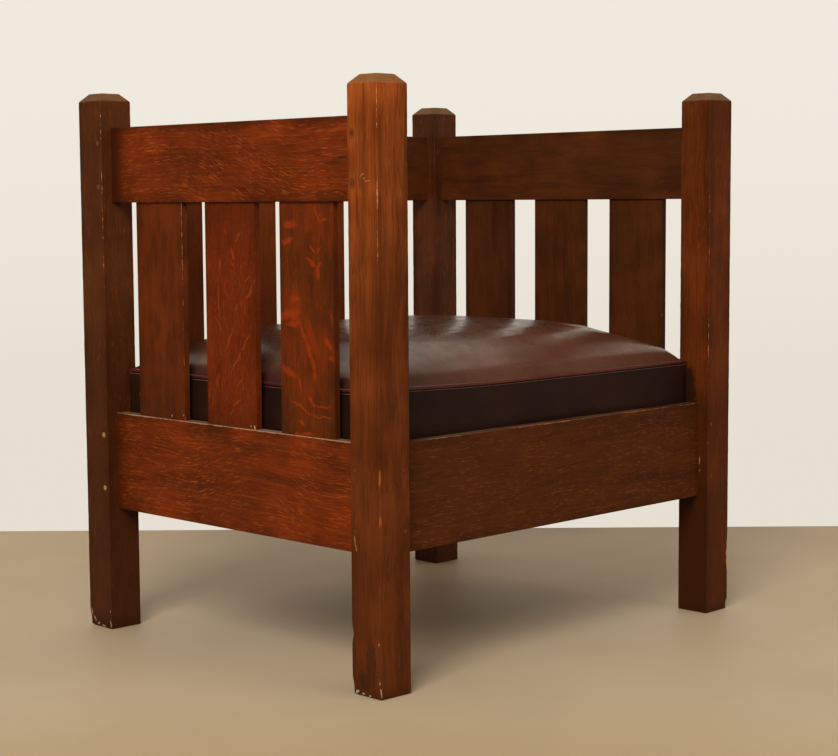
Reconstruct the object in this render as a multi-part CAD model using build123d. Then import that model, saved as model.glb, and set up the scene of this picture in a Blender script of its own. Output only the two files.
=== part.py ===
"""Cube armchair in quartersawn oak with a loose leather cushion on a drop-in seat.

Millimetres, +Z up, +X to the right of the chair seen from its front, the front towards -Y. The
origin is on the floor, under the middle of the chair. Four square posts are joined by flat rails:
seat rails on all four sides, and top rails on the two sides and the back, all at one height, with
wide slats let in between them. Pegs pin every tenon. Cleats inside the seat rails carry a drop-in
frame with woven webbing, and the cushion lies on that.
"""
import os
from itertools import product

from build123d import *

# The whole chair, over its posts
WIDTH = 718.7
DEPTH = 607.7
HEIGHT = 762.0

# Square posts with a low four-sided top
POST_SIZE = 52.0
POST_TOP_RISE = 11.2
POST_TOP_RUN = 10.8
POST_EDGE_EASE = 1.4
POST_FOOT_EASE = 1.8

# Flat rails, let into the middle of the posts
RAIL_THICKNESS = 17.5
RAIL_EDGE_EASE = 1.0
TOP_RAIL_HEIGHT = 104.5
TOP_RAIL_DROP = 48.3
SEAT_RAIL_HEIGHT = 138.0
SEAT_RAIL_FLOOR_GAP = 173.8

# Tenons on the rails and their mortises in the posts
TENON_THICKNESS = 9.5
TENON_SHOULDER = 9.5
TENON_END_GAP = 0.8
GLUE_GAP = 0.1

# Slats between the rails
SLAT_WIDTH = 101.6
SLAT_THICKNESS = 9.5
SLAT_EDGE_EASE = 0.8
SLAT_TENON_LENGTH = 12.7
SLAT_TENON_SHOULDER = 6.35
SIDE_SLAT_COUNT = 3
BACK_SLAT_COUNT = 4

# Round pegs through the tenons
PEG_DIAMETER = 8.0
PEG_SETBACK = 8.5
PEG_PAST_TENON = 4.5
PEG_FIT = 0.05
PEG_END_EASE = 0.5
TOP_RAIL_PEG_INSET = 22.0
SEAT_RAIL_PEG_INSET = 31.0

# Cleats that carry the drop-in seat, and their screws
CLEAT_SIZE = 19.0
CLEAT_EDGE_EASE = 1.5
CLEAT_END_GAP = 0.4
SCREW_SHANK_DIAMETER = 4.2
SCREW_HEAD_DIAMETER = 8.2
SCREW_HEAD_DEPTH = 2.6
SCREW_SLOT_WIDTH = 1.0
SCREW_SLOT_DEPTH = 0.9
SCREW_BITE = 12.5
SCREW_FIT = 0.05
SCREW_END_INSET = 38.0
SIDE_SCREW_COUNT = 4
CROSS_SCREW_COUNT = 5

# Drop-in seat frame on the cleats
SEAT_RECESS = 32.0
SEAT_FRAME_WIDTH = 44.5
SEAT_FRAME_THICKNESS = 19.0
SEAT_FRAME_EDGE_EASE = 1.5
SEAT_FRAME_CLEARANCE = 1.8
SEAT_TENON_LENGTH = 22.0
SEAT_TENON_THICKNESS = 6.4
SEAT_TENON_SHOULDER = 3.0

# Woven webbing on the seat frame, and its tacks
WEBBING_WIDTH = 50.0
WEBBING_THICKNESS = 1.2
WEBBING_FIT = 0.1
WEBBING_RAMP = 9.0
WEBBING_EDGE_INSET = 9.0
LENGTHWISE_STRAP_COUNT = 5
CROSSWISE_STRAP_COUNT = 4
TACKS_PER_END = 3
TACK_HEAD_DIAMETER = 7.0
TACK_HEAD_THICKNESS = 0.7
TACK_SHANK_DIAMETER = 1.6
TACK_LENGTH = 12.0
TACK_END_INSET = 11.0
TACK_SIDE_INSET = 8.0
TACK_FIT = 0.05

# Boxed cushion: drawn in at the sides and crowned on top, a leather cover on a foam core
CUSHION_CLEARANCE = 2.0
CUSHION_SEAT_GAP = 0.3
CUSHION_BOXING = 88.5
CUSHION_CROWN = 64.0
CUSHION_DRAW_IN = 3.0
CUSHION_CROWN_BOW = 3.0
CUSHION_BOXING_BULGE = 1.4
CUSHION_CORNER_RADIUS = 20.0
CUSHION_POST_CLEARANCE = 0.6
COVER_THICKNESS = 1.6
CORE_FIT = 0.3

# Each contour of the crown: its height as a share of the crown's rise, its reach as a share of
# the cushion's, and its corner radius as a share of its own half depth
CROWN_CONTOUR_SHARES = (
    (0.10, 0.988, 0.16),
    (0.30, 0.946, 0.30),
    (0.55, 0.861, 0.41),
    (0.76, 0.744, 0.48),
    (0.90, 0.602, 0.52),
    (0.97, 0.447, 0.54),
    (1.00, 0.260, 0.54),
)

# Every cutter runs past the surface that it cuts by this much
OVERRUN = 2.0

# Places that follow from the sizes above
HALF_WIDTH = WIDTH / 2
HALF_DEPTH = DEPTH / 2
POST_X = HALF_WIDTH - POST_SIZE / 2
POST_Y = HALF_DEPTH - POST_SIZE / 2
SIDE_SPAN = DEPTH - 2 * POST_SIZE
CROSS_SPAN = WIDTH - 2 * POST_SIZE
TENON_LENGTH = POST_SIZE / 2 - TENON_THICKNESS / 2 - TENON_END_GAP
TOP_RAIL_Z = HEIGHT - TOP_RAIL_DROP - TOP_RAIL_HEIGHT
SEAT_RAIL_Z = SEAT_RAIL_FLOOR_GAP
SEAT_RAIL_TOP_Z = SEAT_RAIL_Z + SEAT_RAIL_HEIGHT
SLAT_LENGTH = TOP_RAIL_Z - SEAT_RAIL_TOP_Z
RAIL_INNER_X = POST_X - RAIL_THICKNESS / 2
RAIL_INNER_Y = POST_Y - RAIL_THICKNESS / 2
POST_INNER_X = HALF_WIDTH - POST_SIZE
POST_INNER_Y = HALF_DEPTH - POST_SIZE
SEAT_FRAME_TOP_Z = SEAT_RAIL_TOP_Z - SEAT_RECESS
SEAT_FRAME_Z = SEAT_FRAME_TOP_Z - SEAT_FRAME_THICKNESS
CLEAT_Z = SEAT_FRAME_Z - CLEAT_SIZE
FRAME_OUTER_X = RAIL_INNER_X - SEAT_FRAME_CLEARANCE
FRAME_OUTER_Y = RAIL_INNER_Y - SEAT_FRAME_CLEARANCE
FRAME_INNER_X = FRAME_OUTER_X - SEAT_FRAME_WIDTH
FRAME_INNER_Y = FRAME_OUTER_Y - SEAT_FRAME_WIDTH
WEBBING_TOP_Z = SEAT_FRAME_TOP_Z + 2 * WEBBING_THICKNESS + WEBBING_FIT
CUSHION_Z = WEBBING_TOP_Z + CUSHION_SEAT_GAP
CUSHION_SEAM_Z = CUSHION_Z + CUSHION_BOXING
CUSHION_HALF_X = RAIL_INNER_X - CUSHION_CLEARANCE
CUSHION_HALF_Y = RAIL_INNER_Y - CUSHION_CLEARANCE

SIDES = {"left": -1, "right": 1}
ENDS = {"front": -1, "back": 1}


def block(low, high):
    """A box between its lowest and its highest corner."""
    size = [b - a for a, b in zip(low, high)]
    middle = [(a + b) / 2 for a, b in zip(low, high)]
    return Pos(*middle) * Box(*size)


def eased_board(low, high, ease, along):
    """A board whose long edges, which run along one axis, are rounded."""
    board = block(low, high)
    return fillet(board.edges().filter_by(along), ease)


def spread(count, first, last):
    """Evenly spaced places, the first and the last included."""
    step = (last - first) / (count - 1)
    return [first + step * index for index in range(count)]


def slat_centres(count, span):
    """Middles of slats that leave equal gaps between two posts."""
    gap = (span - count * SLAT_WIDTH) / (count + 1)
    pitch = SLAT_WIDTH + gap
    return [-span / 2 + gap + SLAT_WIDTH / 2 + pitch * index for index in range(count)]


def tenon_bar(span, height, fit, end_gap):
    """The bar that holds both tenons of a rail, wider by a fit when it cuts the mortises."""
    half_length = span / 2 + TENON_LENGTH + end_gap
    half_thickness = TENON_THICKNESS / 2 + fit
    return block(
        (-half_length, -half_thickness, TENON_SHOULDER - fit),
        (half_length, half_thickness, height - TENON_SHOULDER + fit),
    )


def slat_mortise(centre, face_z, inward):
    """The slot for one slat's tenon, cut inward from the face of a rail."""
    half_width = SLAT_WIDTH / 2 - SLAT_TENON_SHOULDER + GLUE_GAP
    half_thickness = SLAT_THICKNESS / 2 + GLUE_GAP
    depth = SLAT_TENON_LENGTH + TENON_END_GAP
    heights = sorted((face_z - inward * OVERRUN, face_z + inward * depth))
    return block(
        (centre - half_width, -half_thickness, heights[0]),
        (centre + half_width, half_thickness, heights[1]),
    )


def rail(span, height, centres, slat_face_z, inward):
    """One rail with its tenons along X, its lower edge at zero height, mortised for its slats."""
    half_thickness = RAIL_THICKNESS / 2
    shape = eased_board(
        (-span / 2, -half_thickness, 0), (span / 2, half_thickness, height), RAIL_EDGE_EASE, Axis.X
    )
    shape += tenon_bar(span, height, 0, 0)
    for centre in centres:
        shape -= slat_mortise(centre, slat_face_z, inward)
    return shape


def slat(centre):
    """One slat with a tenon at each end, its shoulders on the two rails."""
    half_width = SLAT_WIDTH / 2
    half_thickness = SLAT_THICKNESS / 2
    shape = eased_board(
        (centre - half_width, -half_thickness, 0),
        (centre + half_width, half_thickness, SLAT_LENGTH),
        SLAT_EDGE_EASE,
        Axis.Z,
    )
    half_tenon = half_width - SLAT_TENON_SHOULDER
    return shape + block(
        (centre - half_tenon, -half_thickness, -SLAT_TENON_LENGTH),
        (centre + half_tenon, half_thickness, SLAT_LENGTH + SLAT_TENON_LENGTH),
    )


def side_place(side, z):
    """Where a board made along X stands as a side of the chair."""
    return Pos(side * POST_X, 0, z) * Rot(0, 0, 90)


def cross_place(end, z):
    """Where a board made along X stands as the front or the back."""
    return Pos(0, end * POST_Y, z)


def peg(direction):
    """One peg that runs in from the origin along an axis, its outer end eased."""
    length = POST_SIZE / 2 + TENON_THICKNESS / 2 + PEG_PAST_TENON
    pin = extrude(Plane(origin=(0, 0, 0), z_dir=direction) * Circle(PEG_DIAMETER / 2), length)
    outer = pin.faces().sort_by(Axis((0, 0, 0), direction))[0]
    return chamfer(outer.edges(), PEG_END_EASE)


def peg_hole(direction):
    """The hole for one peg, open at the post's face and ending with the peg."""
    length = POST_SIZE / 2 + TENON_THICKNESS / 2 + PEG_PAST_TENON + PEG_FIT
    start = tuple(-OVERRUN * value for value in direction)
    circle = Circle(PEG_DIAMETER / 2 + PEG_FIT)
    return extrude(Plane(origin=start, z_dir=direction) * circle, length + OVERRUN)


def peg_heights(low, height, inset):
    """The two pegs of one tenon, one near each edge of the rail."""
    return (low + inset, low + height - inset)


def side_peg_places():
    """Every peg that pins a side rail, driven in from the outer side faces of the posts."""
    heights = peg_heights(TOP_RAIL_Z, TOP_RAIL_HEIGHT, TOP_RAIL_PEG_INSET)
    heights += peg_heights(SEAT_RAIL_Z, SEAT_RAIL_HEIGHT, SEAT_RAIL_PEG_INSET)
    for side, end, z in product(SIDES.values(), ENDS.values(), heights):
        place = (side * HALF_WIDTH, end * (POST_INNER_Y + PEG_SETBACK), z)
        yield side, end, place, (-side, 0, 0)


def cross_peg_places():
    """Every peg that pins a front or back rail, driven in from the front and back faces."""
    seat_heights = peg_heights(SEAT_RAIL_Z, SEAT_RAIL_HEIGHT, SEAT_RAIL_PEG_INSET)
    top_heights = peg_heights(TOP_RAIL_Z, TOP_RAIL_HEIGHT, TOP_RAIL_PEG_INSET)
    for side, end in product(SIDES.values(), ENDS.values()):
        heights = seat_heights + (top_heights if end > 0 else ())
        for z in heights:
            place = (side * (POST_INNER_X + PEG_SETBACK), end * HALF_DEPTH, z)
            yield side, end, place, (0, -end, 0)


def post_section(size, z):
    """The post's square section at one height, its corners eased in step with its size."""
    return Pos(0, 0, z) * RectangleRounded(size, size, POST_EDGE_EASE * size / POST_SIZE)


def post_blank():
    """A square post with eased edges, an eased foot and a low chamfered top."""
    foot_size = POST_SIZE - 2 * POST_FOOT_EASE
    top_size = POST_SIZE - 2 * POST_TOP_RUN
    shoulder_z = HEIGHT - POST_TOP_RISE
    foot = loft([post_section(foot_size, 0), post_section(POST_SIZE, POST_FOOT_EASE)], ruled=True)
    shaft = extrude(post_section(POST_SIZE, POST_FOOT_EASE), shoulder_z - POST_FOOT_EASE)
    cap = loft([post_section(POST_SIZE, shoulder_z), post_section(top_size, HEIGHT)], ruled=True)
    return foot + shaft + cap


def make_pegs(places):
    """All pegs of one kind."""
    return [Pos(*place) * peg(direction) for _, _, place, direction in places]


def peg_holes(side, end):
    """The holes of every peg in the post on one side and at one end."""
    every_peg = list(side_peg_places()) + list(cross_peg_places())
    return [
        Pos(*place) * peg_hole(direction)
        for peg_side, peg_end, place, direction in every_peg
        if peg_side == side and peg_end == end
    ]


def all_peg_holes():
    """The holes of every peg in the chair."""
    holes = []
    for side, end in product(SIDES.values(), ENDS.values()):
        holes += peg_holes(side, end)
    return holes


def mortise_cutters(side, end):
    """The tenon bars that cut the post on one side and at one end."""
    seat_side = tenon_bar(SIDE_SPAN, SEAT_RAIL_HEIGHT, GLUE_GAP, TENON_END_GAP)
    seat_cross = tenon_bar(CROSS_SPAN, SEAT_RAIL_HEIGHT, GLUE_GAP, TENON_END_GAP)
    top_side = tenon_bar(SIDE_SPAN, TOP_RAIL_HEIGHT, GLUE_GAP, TENON_END_GAP)
    top_cross = tenon_bar(CROSS_SPAN, TOP_RAIL_HEIGHT, GLUE_GAP, TENON_END_GAP)
    cutters = [
        side_place(side, SEAT_RAIL_Z) * seat_side,
        cross_place(end, SEAT_RAIL_Z) * seat_cross,
        side_place(side, TOP_RAIL_Z) * top_side,
    ]
    if end > 0:
        cutters.append(cross_place(end, TOP_RAIL_Z) * top_cross)
    return cutters


def make_posts():
    """The four posts, mortised and drilled."""
    posts = {}
    for (side_name, side), (end_name, end) in product(SIDES.items(), ENDS.items()):
        shape = Pos(side * POST_X, end * POST_Y, 0) * post_blank()
        for cutter in mortise_cutters(side, end) + peg_holes(side, end):
            shape -= cutter
        posts[f"post_{end_name}_{side_name}"] = shape
    return posts


def screw(direction):
    """A slotted countersunk wood screw that runs in from the origin along an axis."""
    plane = Plane(origin=(0, 0, 0), z_dir=direction)
    head = loft(
        [
            plane * Circle(SCREW_HEAD_DIAMETER / 2),
            plane.offset(SCREW_HEAD_DEPTH) * Circle(SCREW_SHANK_DIAMETER / 2),
        ],
        ruled=True,
    )
    length = CLEAT_SIZE + SCREW_BITE
    shank = extrude(plane.offset(SCREW_HEAD_DEPTH) * Circle(SCREW_SHANK_DIAMETER / 2), length - SCREW_HEAD_DEPTH)
    slot_shape = Rectangle(SCREW_HEAD_DIAMETER + OVERRUN, SCREW_SLOT_WIDTH)
    slot = extrude(plane.offset(-OVERRUN) * slot_shape, OVERRUN + SCREW_SLOT_DEPTH)
    return head + shank - slot


def screw_hole(direction):
    """The countersunk hole of one screw, through the cleat and into the rail."""
    plane = Plane(origin=(0, 0, 0), z_dir=direction)
    head_radius = SCREW_HEAD_DIAMETER / 2 + SCREW_FIT
    shank_radius = SCREW_SHANK_DIAMETER / 2 + SCREW_FIT
    mouth = loft(
        [plane * Circle(head_radius), plane.offset(SCREW_HEAD_DEPTH) * Circle(shank_radius)], ruled=True
    )
    length = CLEAT_SIZE + SCREW_BITE + SCREW_FIT
    bore = extrude(plane.offset(-OVERRUN) * Circle(shank_radius), OVERRUN + length)
    return mouth + bore


def screw_places():
    """Each cleat screw: the rail that it enters, its place on the cleat's face and its direction."""
    z = CLEAT_Z + CLEAT_SIZE / 2
    side_reach = POST_INNER_Y - SCREW_END_INSET
    cross_reach = RAIL_INNER_X - CLEAT_SIZE - SCREW_END_INSET
    for name, side in SIDES.items():
        for y in spread(SIDE_SCREW_COUNT, -side_reach, side_reach):
            yield name, (side * (RAIL_INNER_X - CLEAT_SIZE), y, z), (side, 0, 0)
    for name, end in ENDS.items():
        for x in spread(CROSS_SCREW_COUNT, -cross_reach, cross_reach):
            yield name, (x, end * (RAIL_INNER_Y - CLEAT_SIZE), z), (0, end, 0)


def make_cleats():
    """A square cleat along the inside of each seat rail."""
    top_z = CLEAT_Z + CLEAT_SIZE
    side_reach = POST_INNER_Y - CLEAT_END_GAP
    cross_reach = RAIL_INNER_X - CLEAT_SIZE - CLEAT_END_GAP
    cleats = {}
    for name, side in SIDES.items():
        xs = sorted((side * RAIL_INNER_X, side * (RAIL_INNER_X - CLEAT_SIZE)))
        low = (xs[0], -side_reach, CLEAT_Z)
        high = (xs[1], side_reach, top_z)
        cleats[name] = eased_board(low, high, CLEAT_EDGE_EASE, Axis.Y)
    for name, end in ENDS.items():
        ys = sorted((end * RAIL_INNER_Y, end * (RAIL_INNER_Y - CLEAT_SIZE)))
        low = (-cross_reach, ys[0], CLEAT_Z)
        high = (cross_reach, ys[1], top_z)
        cleats[name] = eased_board(low, high, CLEAT_EDGE_EASE, Axis.X)
    for name, place, direction in screw_places():
        cleats[name] -= Pos(*place) * screw_hole(direction)
    return {f"cleat_{name}": shape for name, shape in cleats.items()}


def make_rails():
    """Seat rails on all four sides, and top rails on the sides and the back."""
    side_centres = slat_centres(SIDE_SLAT_COUNT, SIDE_SPAN)
    back_centres = slat_centres(BACK_SLAT_COUNT, CROSS_SPAN)
    rails = {}
    for name, side in SIDES.items():
        seat = rail(SIDE_SPAN, SEAT_RAIL_HEIGHT, side_centres, SEAT_RAIL_HEIGHT, -1)
        top = rail(SIDE_SPAN, TOP_RAIL_HEIGHT, side_centres, 0, 1)
        rails[f"seat_rail_{name}"] = side_place(side, SEAT_RAIL_Z) * seat
        rails[f"top_rail_{name}"] = side_place(side, TOP_RAIL_Z) * top
    front = rail(CROSS_SPAN, SEAT_RAIL_HEIGHT, (), SEAT_RAIL_HEIGHT, -1)
    back = rail(CROSS_SPAN, SEAT_RAIL_HEIGHT, back_centres, SEAT_RAIL_HEIGHT, -1)
    top_back = rail(CROSS_SPAN, TOP_RAIL_HEIGHT, back_centres, 0, 1)
    rails["seat_rail_front"] = cross_place(ENDS["front"], SEAT_RAIL_Z) * front
    rails["seat_rail_back"] = cross_place(ENDS["back"], SEAT_RAIL_Z) * back
    rails["top_rail_back"] = cross_place(ENDS["back"], TOP_RAIL_Z) * top_back
    holes = all_peg_holes()
    for name in rails:
        for hole in holes:
            rails[name] -= hole
    for name, place, direction in screw_places():
        rails[f"seat_rail_{name}"] -= Pos(*place) * screw_hole(direction)
    return rails


def make_slats():
    """The slats of both sides and of the back."""
    slats = {}
    for name, side in SIDES.items():
        for number, centre in enumerate(slat_centres(SIDE_SLAT_COUNT, SIDE_SPAN), start=1):
            slats[f"slat_{name}_{number}"] = side_place(side, SEAT_RAIL_TOP_Z) * slat(centre)
    for number, centre in enumerate(slat_centres(BACK_SLAT_COUNT, CROSS_SPAN), start=1):
        slats[f"slat_back_{number}"] = cross_place(ENDS["back"], SEAT_RAIL_TOP_Z) * slat(centre)
    return slats


def strap_profile(reach, crossings, hops):
    """The side outline of one strap: flat, with a hop over every second strap that it crosses.

    It is drawn with the length along X and the height along Y.
    """
    lift = WEBBING_THICKNESS + WEBBING_FIT
    lower = [(-reach, 0)]
    for place, hop in zip(crossings, hops):
        if hop:
            half = WEBBING_WIDTH / 2 + WEBBING_FIT
            lower += [
                (place - half - WEBBING_RAMP, 0),
                (place - half, lift),
                (place + half, lift),
                (place + half + WEBBING_RAMP, 0),
            ]
    lower.append((reach, 0))
    upper = [(x, y + WEBBING_THICKNESS) for x, y in reversed(lower)]
    return make_face(Polyline(*lower, *upper, close=True))


def strap_places():
    """Middles of the straps across the seat's width and along its depth."""
    gap_x = (2 * FRAME_INNER_X - LENGTHWISE_STRAP_COUNT * WEBBING_WIDTH) / (LENGTHWISE_STRAP_COUNT + 1)
    gap_y = (2 * FRAME_INNER_Y - CROSSWISE_STRAP_COUNT * WEBBING_WIDTH) / (CROSSWISE_STRAP_COUNT + 1)
    reach_x = FRAME_INNER_X - gap_x - WEBBING_WIDTH / 2
    reach_y = FRAME_INNER_Y - gap_y - WEBBING_WIDTH / 2
    return spread(LENGTHWISE_STRAP_COUNT, -reach_x, reach_x), spread(CROSSWISE_STRAP_COUNT, -reach_y, reach_y)


def tack_places():
    """Each tack: the seat frame rail that it enters and its place on top of the strap."""
    xs, ys = strap_places()
    half = WEBBING_WIDTH / 2 - TACK_SIDE_INSET
    z = SEAT_FRAME_TOP_Z + WEBBING_THICKNESS
    for name, end in ENDS.items():
        y = end * (FRAME_OUTER_Y - WEBBING_EDGE_INSET - TACK_END_INSET)
        for x, shift in product(xs, spread(TACKS_PER_END, -half, half)):
            yield "lengthwise", name, (x + shift, y, z)
    for name, side in SIDES.items():
        x = side * (FRAME_OUTER_X - WEBBING_EDGE_INSET - TACK_END_INSET)
        for y, shift in product(ys, spread(TACKS_PER_END, -half, half)):
            yield "crosswise", name, (x, y + shift, z)


def tack():
    """One tack with its flat head on the origin and its shank below."""
    head = extrude(Circle(TACK_HEAD_DIAMETER / 2), TACK_HEAD_THICKNESS)
    head = chamfer(head.faces().sort_by(Axis.Z)[-1].edges(), TACK_HEAD_THICKNESS / 2)
    shank = extrude(Circle(TACK_SHANK_DIAMETER / 2), -TACK_LENGTH)
    return head + shank


def tack_hole():
    """The hole that one tack fills."""
    bottom = Pos(0, 0, OVERRUN) * Circle(TACK_SHANK_DIAMETER / 2 + TACK_FIT)
    return extrude(bottom, -(OVERRUN + TACK_LENGTH + TACK_FIT))


def make_webbing():
    """Straps from front to back and from side to side, woven over and under each other."""
    xs, ys = strap_places()
    reach_y = FRAME_OUTER_Y - WEBBING_EDGE_INSET
    reach_x = FRAME_OUTER_X - WEBBING_EDGE_INSET
    lengthwise = []
    for column, x in enumerate(xs):
        hops = [(column + row) % 2 == 0 for row in range(len(ys))]
        strap = extrude(Plane.YZ * strap_profile(reach_y, ys, hops), WEBBING_WIDTH / 2, both=True)
        lengthwise.append(Pos(x, 0, SEAT_FRAME_TOP_Z) * strap)
    crosswise = []
    for row, y in enumerate(ys):
        hops = [(column + row) % 2 == 1 for column in range(len(xs))]
        strap = extrude(Plane.XZ * strap_profile(reach_x, xs, hops), WEBBING_WIDTH / 2, both=True)
        crosswise.append(Pos(0, y, SEAT_FRAME_TOP_Z) * strap)
    straps = {"lengthwise": lengthwise, "crosswise": crosswise}
    for kind, _, place in tack_places():
        hole = Pos(*place) * tack_hole()
        straps[kind] = [drilled(strap, hole) for strap in straps[kind]]
    return {f"webbing_{kind}": shapes for kind, shapes in straps.items()}


def drilled(strap, hole):
    """The strap with the hole in it, left as it is where the hole lies beyond its edges."""
    box = strap.bounding_box()
    middle = hole.bounding_box().center()
    inside_x = box.min.X < middle.X < box.max.X
    inside_y = box.min.Y < middle.Y < box.max.Y
    return strap - hole if inside_x and inside_y else strap


def make_seat_frame():
    """Four flat boards, the front and back ones let into the side ones, cut out round the posts."""
    low_z = SEAT_FRAME_Z
    high_z = SEAT_FRAME_TOP_Z
    notch_x = POST_INNER_X - SEAT_FRAME_CLEARANCE
    notch_y = POST_INNER_Y - SEAT_FRAME_CLEARANCE
    tenon_low_z = low_z + (SEAT_FRAME_THICKNESS - SEAT_TENON_THICKNESS) / 2
    tenon_high_z = tenon_low_z + SEAT_TENON_THICKNESS
    boards = {}
    for name, side in SIDES.items():
        xs = sorted((side * FRAME_INNER_X, side * FRAME_OUTER_X))
        board = eased_board(
            (xs[0], -FRAME_OUTER_Y, low_z), (xs[1], FRAME_OUTER_Y, high_z), SEAT_FRAME_EDGE_EASE, Axis.Y
        )
        for end in ENDS.values():
            notch_xs = sorted((side * notch_x, side * (FRAME_OUTER_X + OVERRUN)))
            notch_ys = sorted((end * notch_y, end * (FRAME_OUTER_Y + OVERRUN)))
            board -= block((notch_xs[0], notch_ys[0], low_z - OVERRUN), (notch_xs[1], notch_ys[1], high_z + OVERRUN))
        boards[name] = board
    for name, end in ENDS.items():
        ys = sorted((end * FRAME_INNER_Y, end * FRAME_OUTER_Y))
        board = eased_board(
            (-FRAME_INNER_X, ys[0], low_z), (FRAME_INNER_X, ys[1], high_z), SEAT_FRAME_EDGE_EASE, Axis.X
        )
        tenon_ys = sorted((end * (FRAME_INNER_Y + SEAT_TENON_SHOULDER), end * (notch_y - SEAT_TENON_SHOULDER)))
        half = FRAME_INNER_X + SEAT_TENON_LENGTH
        board += block((-half, tenon_ys[0], tenon_low_z), (half, tenon_ys[1], tenon_high_z))
        half_cut = half + TENON_END_GAP
        cutter = block(
            (-half_cut, tenon_ys[0] - GLUE_GAP, tenon_low_z - GLUE_GAP),
            (half_cut, tenon_ys[1] + GLUE_GAP, tenon_high_z + GLUE_GAP),
        )
        for side_name in SIDES:
            boards[side_name] -= cutter
        boards[name] = board
    for _, name, place in tack_places():
        boards[name] -= Pos(*place) * tack_hole()
    return {f"seat_frame_{name}": shape for name, shape in boards.items()}


def cushion_contour(half_x, half_y, bow, corner_radius):
    """One level outline of the cushion: four shallow arcs with round corners between them."""
    corners = [(-half_x, -half_y), (half_x, -half_y), (half_x, half_y), (-half_x, half_y)]
    middles = [(0, -half_y - bow), (half_x + bow, 0), (0, half_y + bow), (-half_x - bow, 0)]
    arcs = [
        ThreePointArc(corners[index], middles[index], corners[(index + 1) % len(corners)])
        for index in range(len(corners))
    ]
    face = make_face(arcs)
    return fillet(face.vertices(), corner_radius)


def cushion_form(inset):
    """The boxed, crowned form of the cushion, cut out at its corners to pass the posts.

    An inset draws every surface in by the same amount, for what lies under the leather.
    """
    bulged_x = CUSHION_HALF_X - inset
    bulged_y = CUSHION_HALF_Y - inset
    seam_x = bulged_x - CUSHION_BOXING_BULGE
    seam_y = bulged_y - CUSHION_BOXING_BULGE
    bottom_z = CUSHION_Z + inset
    seam_z = CUSHION_SEAM_Z - inset
    levels = [
        (bottom_z, seam_x, seam_y),
        ((bottom_z + seam_z) / 2, bulged_x, bulged_y),
        (seam_z, seam_x, seam_y),
    ]
    draw_in = -CUSHION_DRAW_IN
    boxing = loft([Pos(0, 0, z) * cushion_contour(x, y, draw_in, CUSHION_CORNER_RADIUS) for z, x, y in levels])
    contours = [Pos(0, 0, seam_z) * cushion_contour(seam_x, seam_y, draw_in, CUSHION_CORNER_RADIUS)]
    for rise_share, reach_share, corner_share in CROWN_CONTOUR_SHARES:
        half_x = seam_x * reach_share
        half_y = seam_y * reach_share
        bow = draw_in + (CUSHION_DRAW_IN + CUSHION_CROWN_BOW) * rise_share
        contour = cushion_contour(half_x, half_y, bow, half_y * corner_share)
        contours.append(Pos(0, 0, seam_z + CUSHION_CROWN * rise_share) * contour)
    form = boxing + loft(contours)
    post_gap = CUSHION_POST_CLEARANCE + inset
    for side, end in product(SIDES.values(), ENDS.values()):
        xs = sorted((side * (POST_INNER_X - post_gap), side * HALF_WIDTH))
        ys = sorted((end * (POST_INNER_Y - post_gap), end * HALF_DEPTH))
        form -= block((xs[0], ys[0], CUSHION_Z - OVERRUN), (xs[1], ys[1], HEIGHT))
    return form


def make_cushion():
    """The leather cover as one closed skin, and the foam core that fills it."""
    cover = cushion_form(0) - cushion_form(COVER_THICKNESS)
    core = cushion_form(COVER_THICKNESS + CORE_FIT)
    return {"cushion_cover": cover, "cushion_core": core}


def solids_of(shapes):
    """The solids in one shape or in a list of shapes."""
    items = shapes if isinstance(shapes, list) else [shapes]
    return [solid for item in items for solid in item.solids()]


def main():
    """Build every piece and write one file for each."""
    os.makedirs("parts", exist_ok=True)
    nodes = {}
    nodes.update(make_posts())
    nodes.update(make_rails())
    nodes.update(make_slats())
    nodes["side_rail_pegs"] = make_pegs(side_peg_places())
    nodes["cross_rail_pegs"] = make_pegs(cross_peg_places())
    nodes.update(make_cleats())
    nodes["cleat_screws"] = [Pos(*place) * screw(direction) for _, place, direction in screw_places()]
    nodes.update(make_seat_frame())
    nodes.update(make_webbing())
    nodes["webbing_tacks"] = [Pos(*place) * tack() for _, _, place in tack_places()]
    nodes.update(make_cushion())
    for name, shapes in nodes.items():
        solids = solids_of(shapes)
        export_step(solids[0] if len(solids) == 1 else Compound(children=solids), f"parts/{name}.step")
    print(len(nodes), "nodes")


main()
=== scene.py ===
"""Cube chair in quartersawn oak, with a loose leather cushion on a webbed drop-in seat.

Run as a script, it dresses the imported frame: worn posts and pegs, flaked rails and slats,
the seat under the cushion, the simulated cushion with its welts, and a plain studio.
Lengths are in metres, apart from the marks and flakes of the boards, which are in millimetres.
"""

import math
from functools import partial, partialmethod, reduce

import bpy
from mathutils import Matrix, Vector, noise


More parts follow.
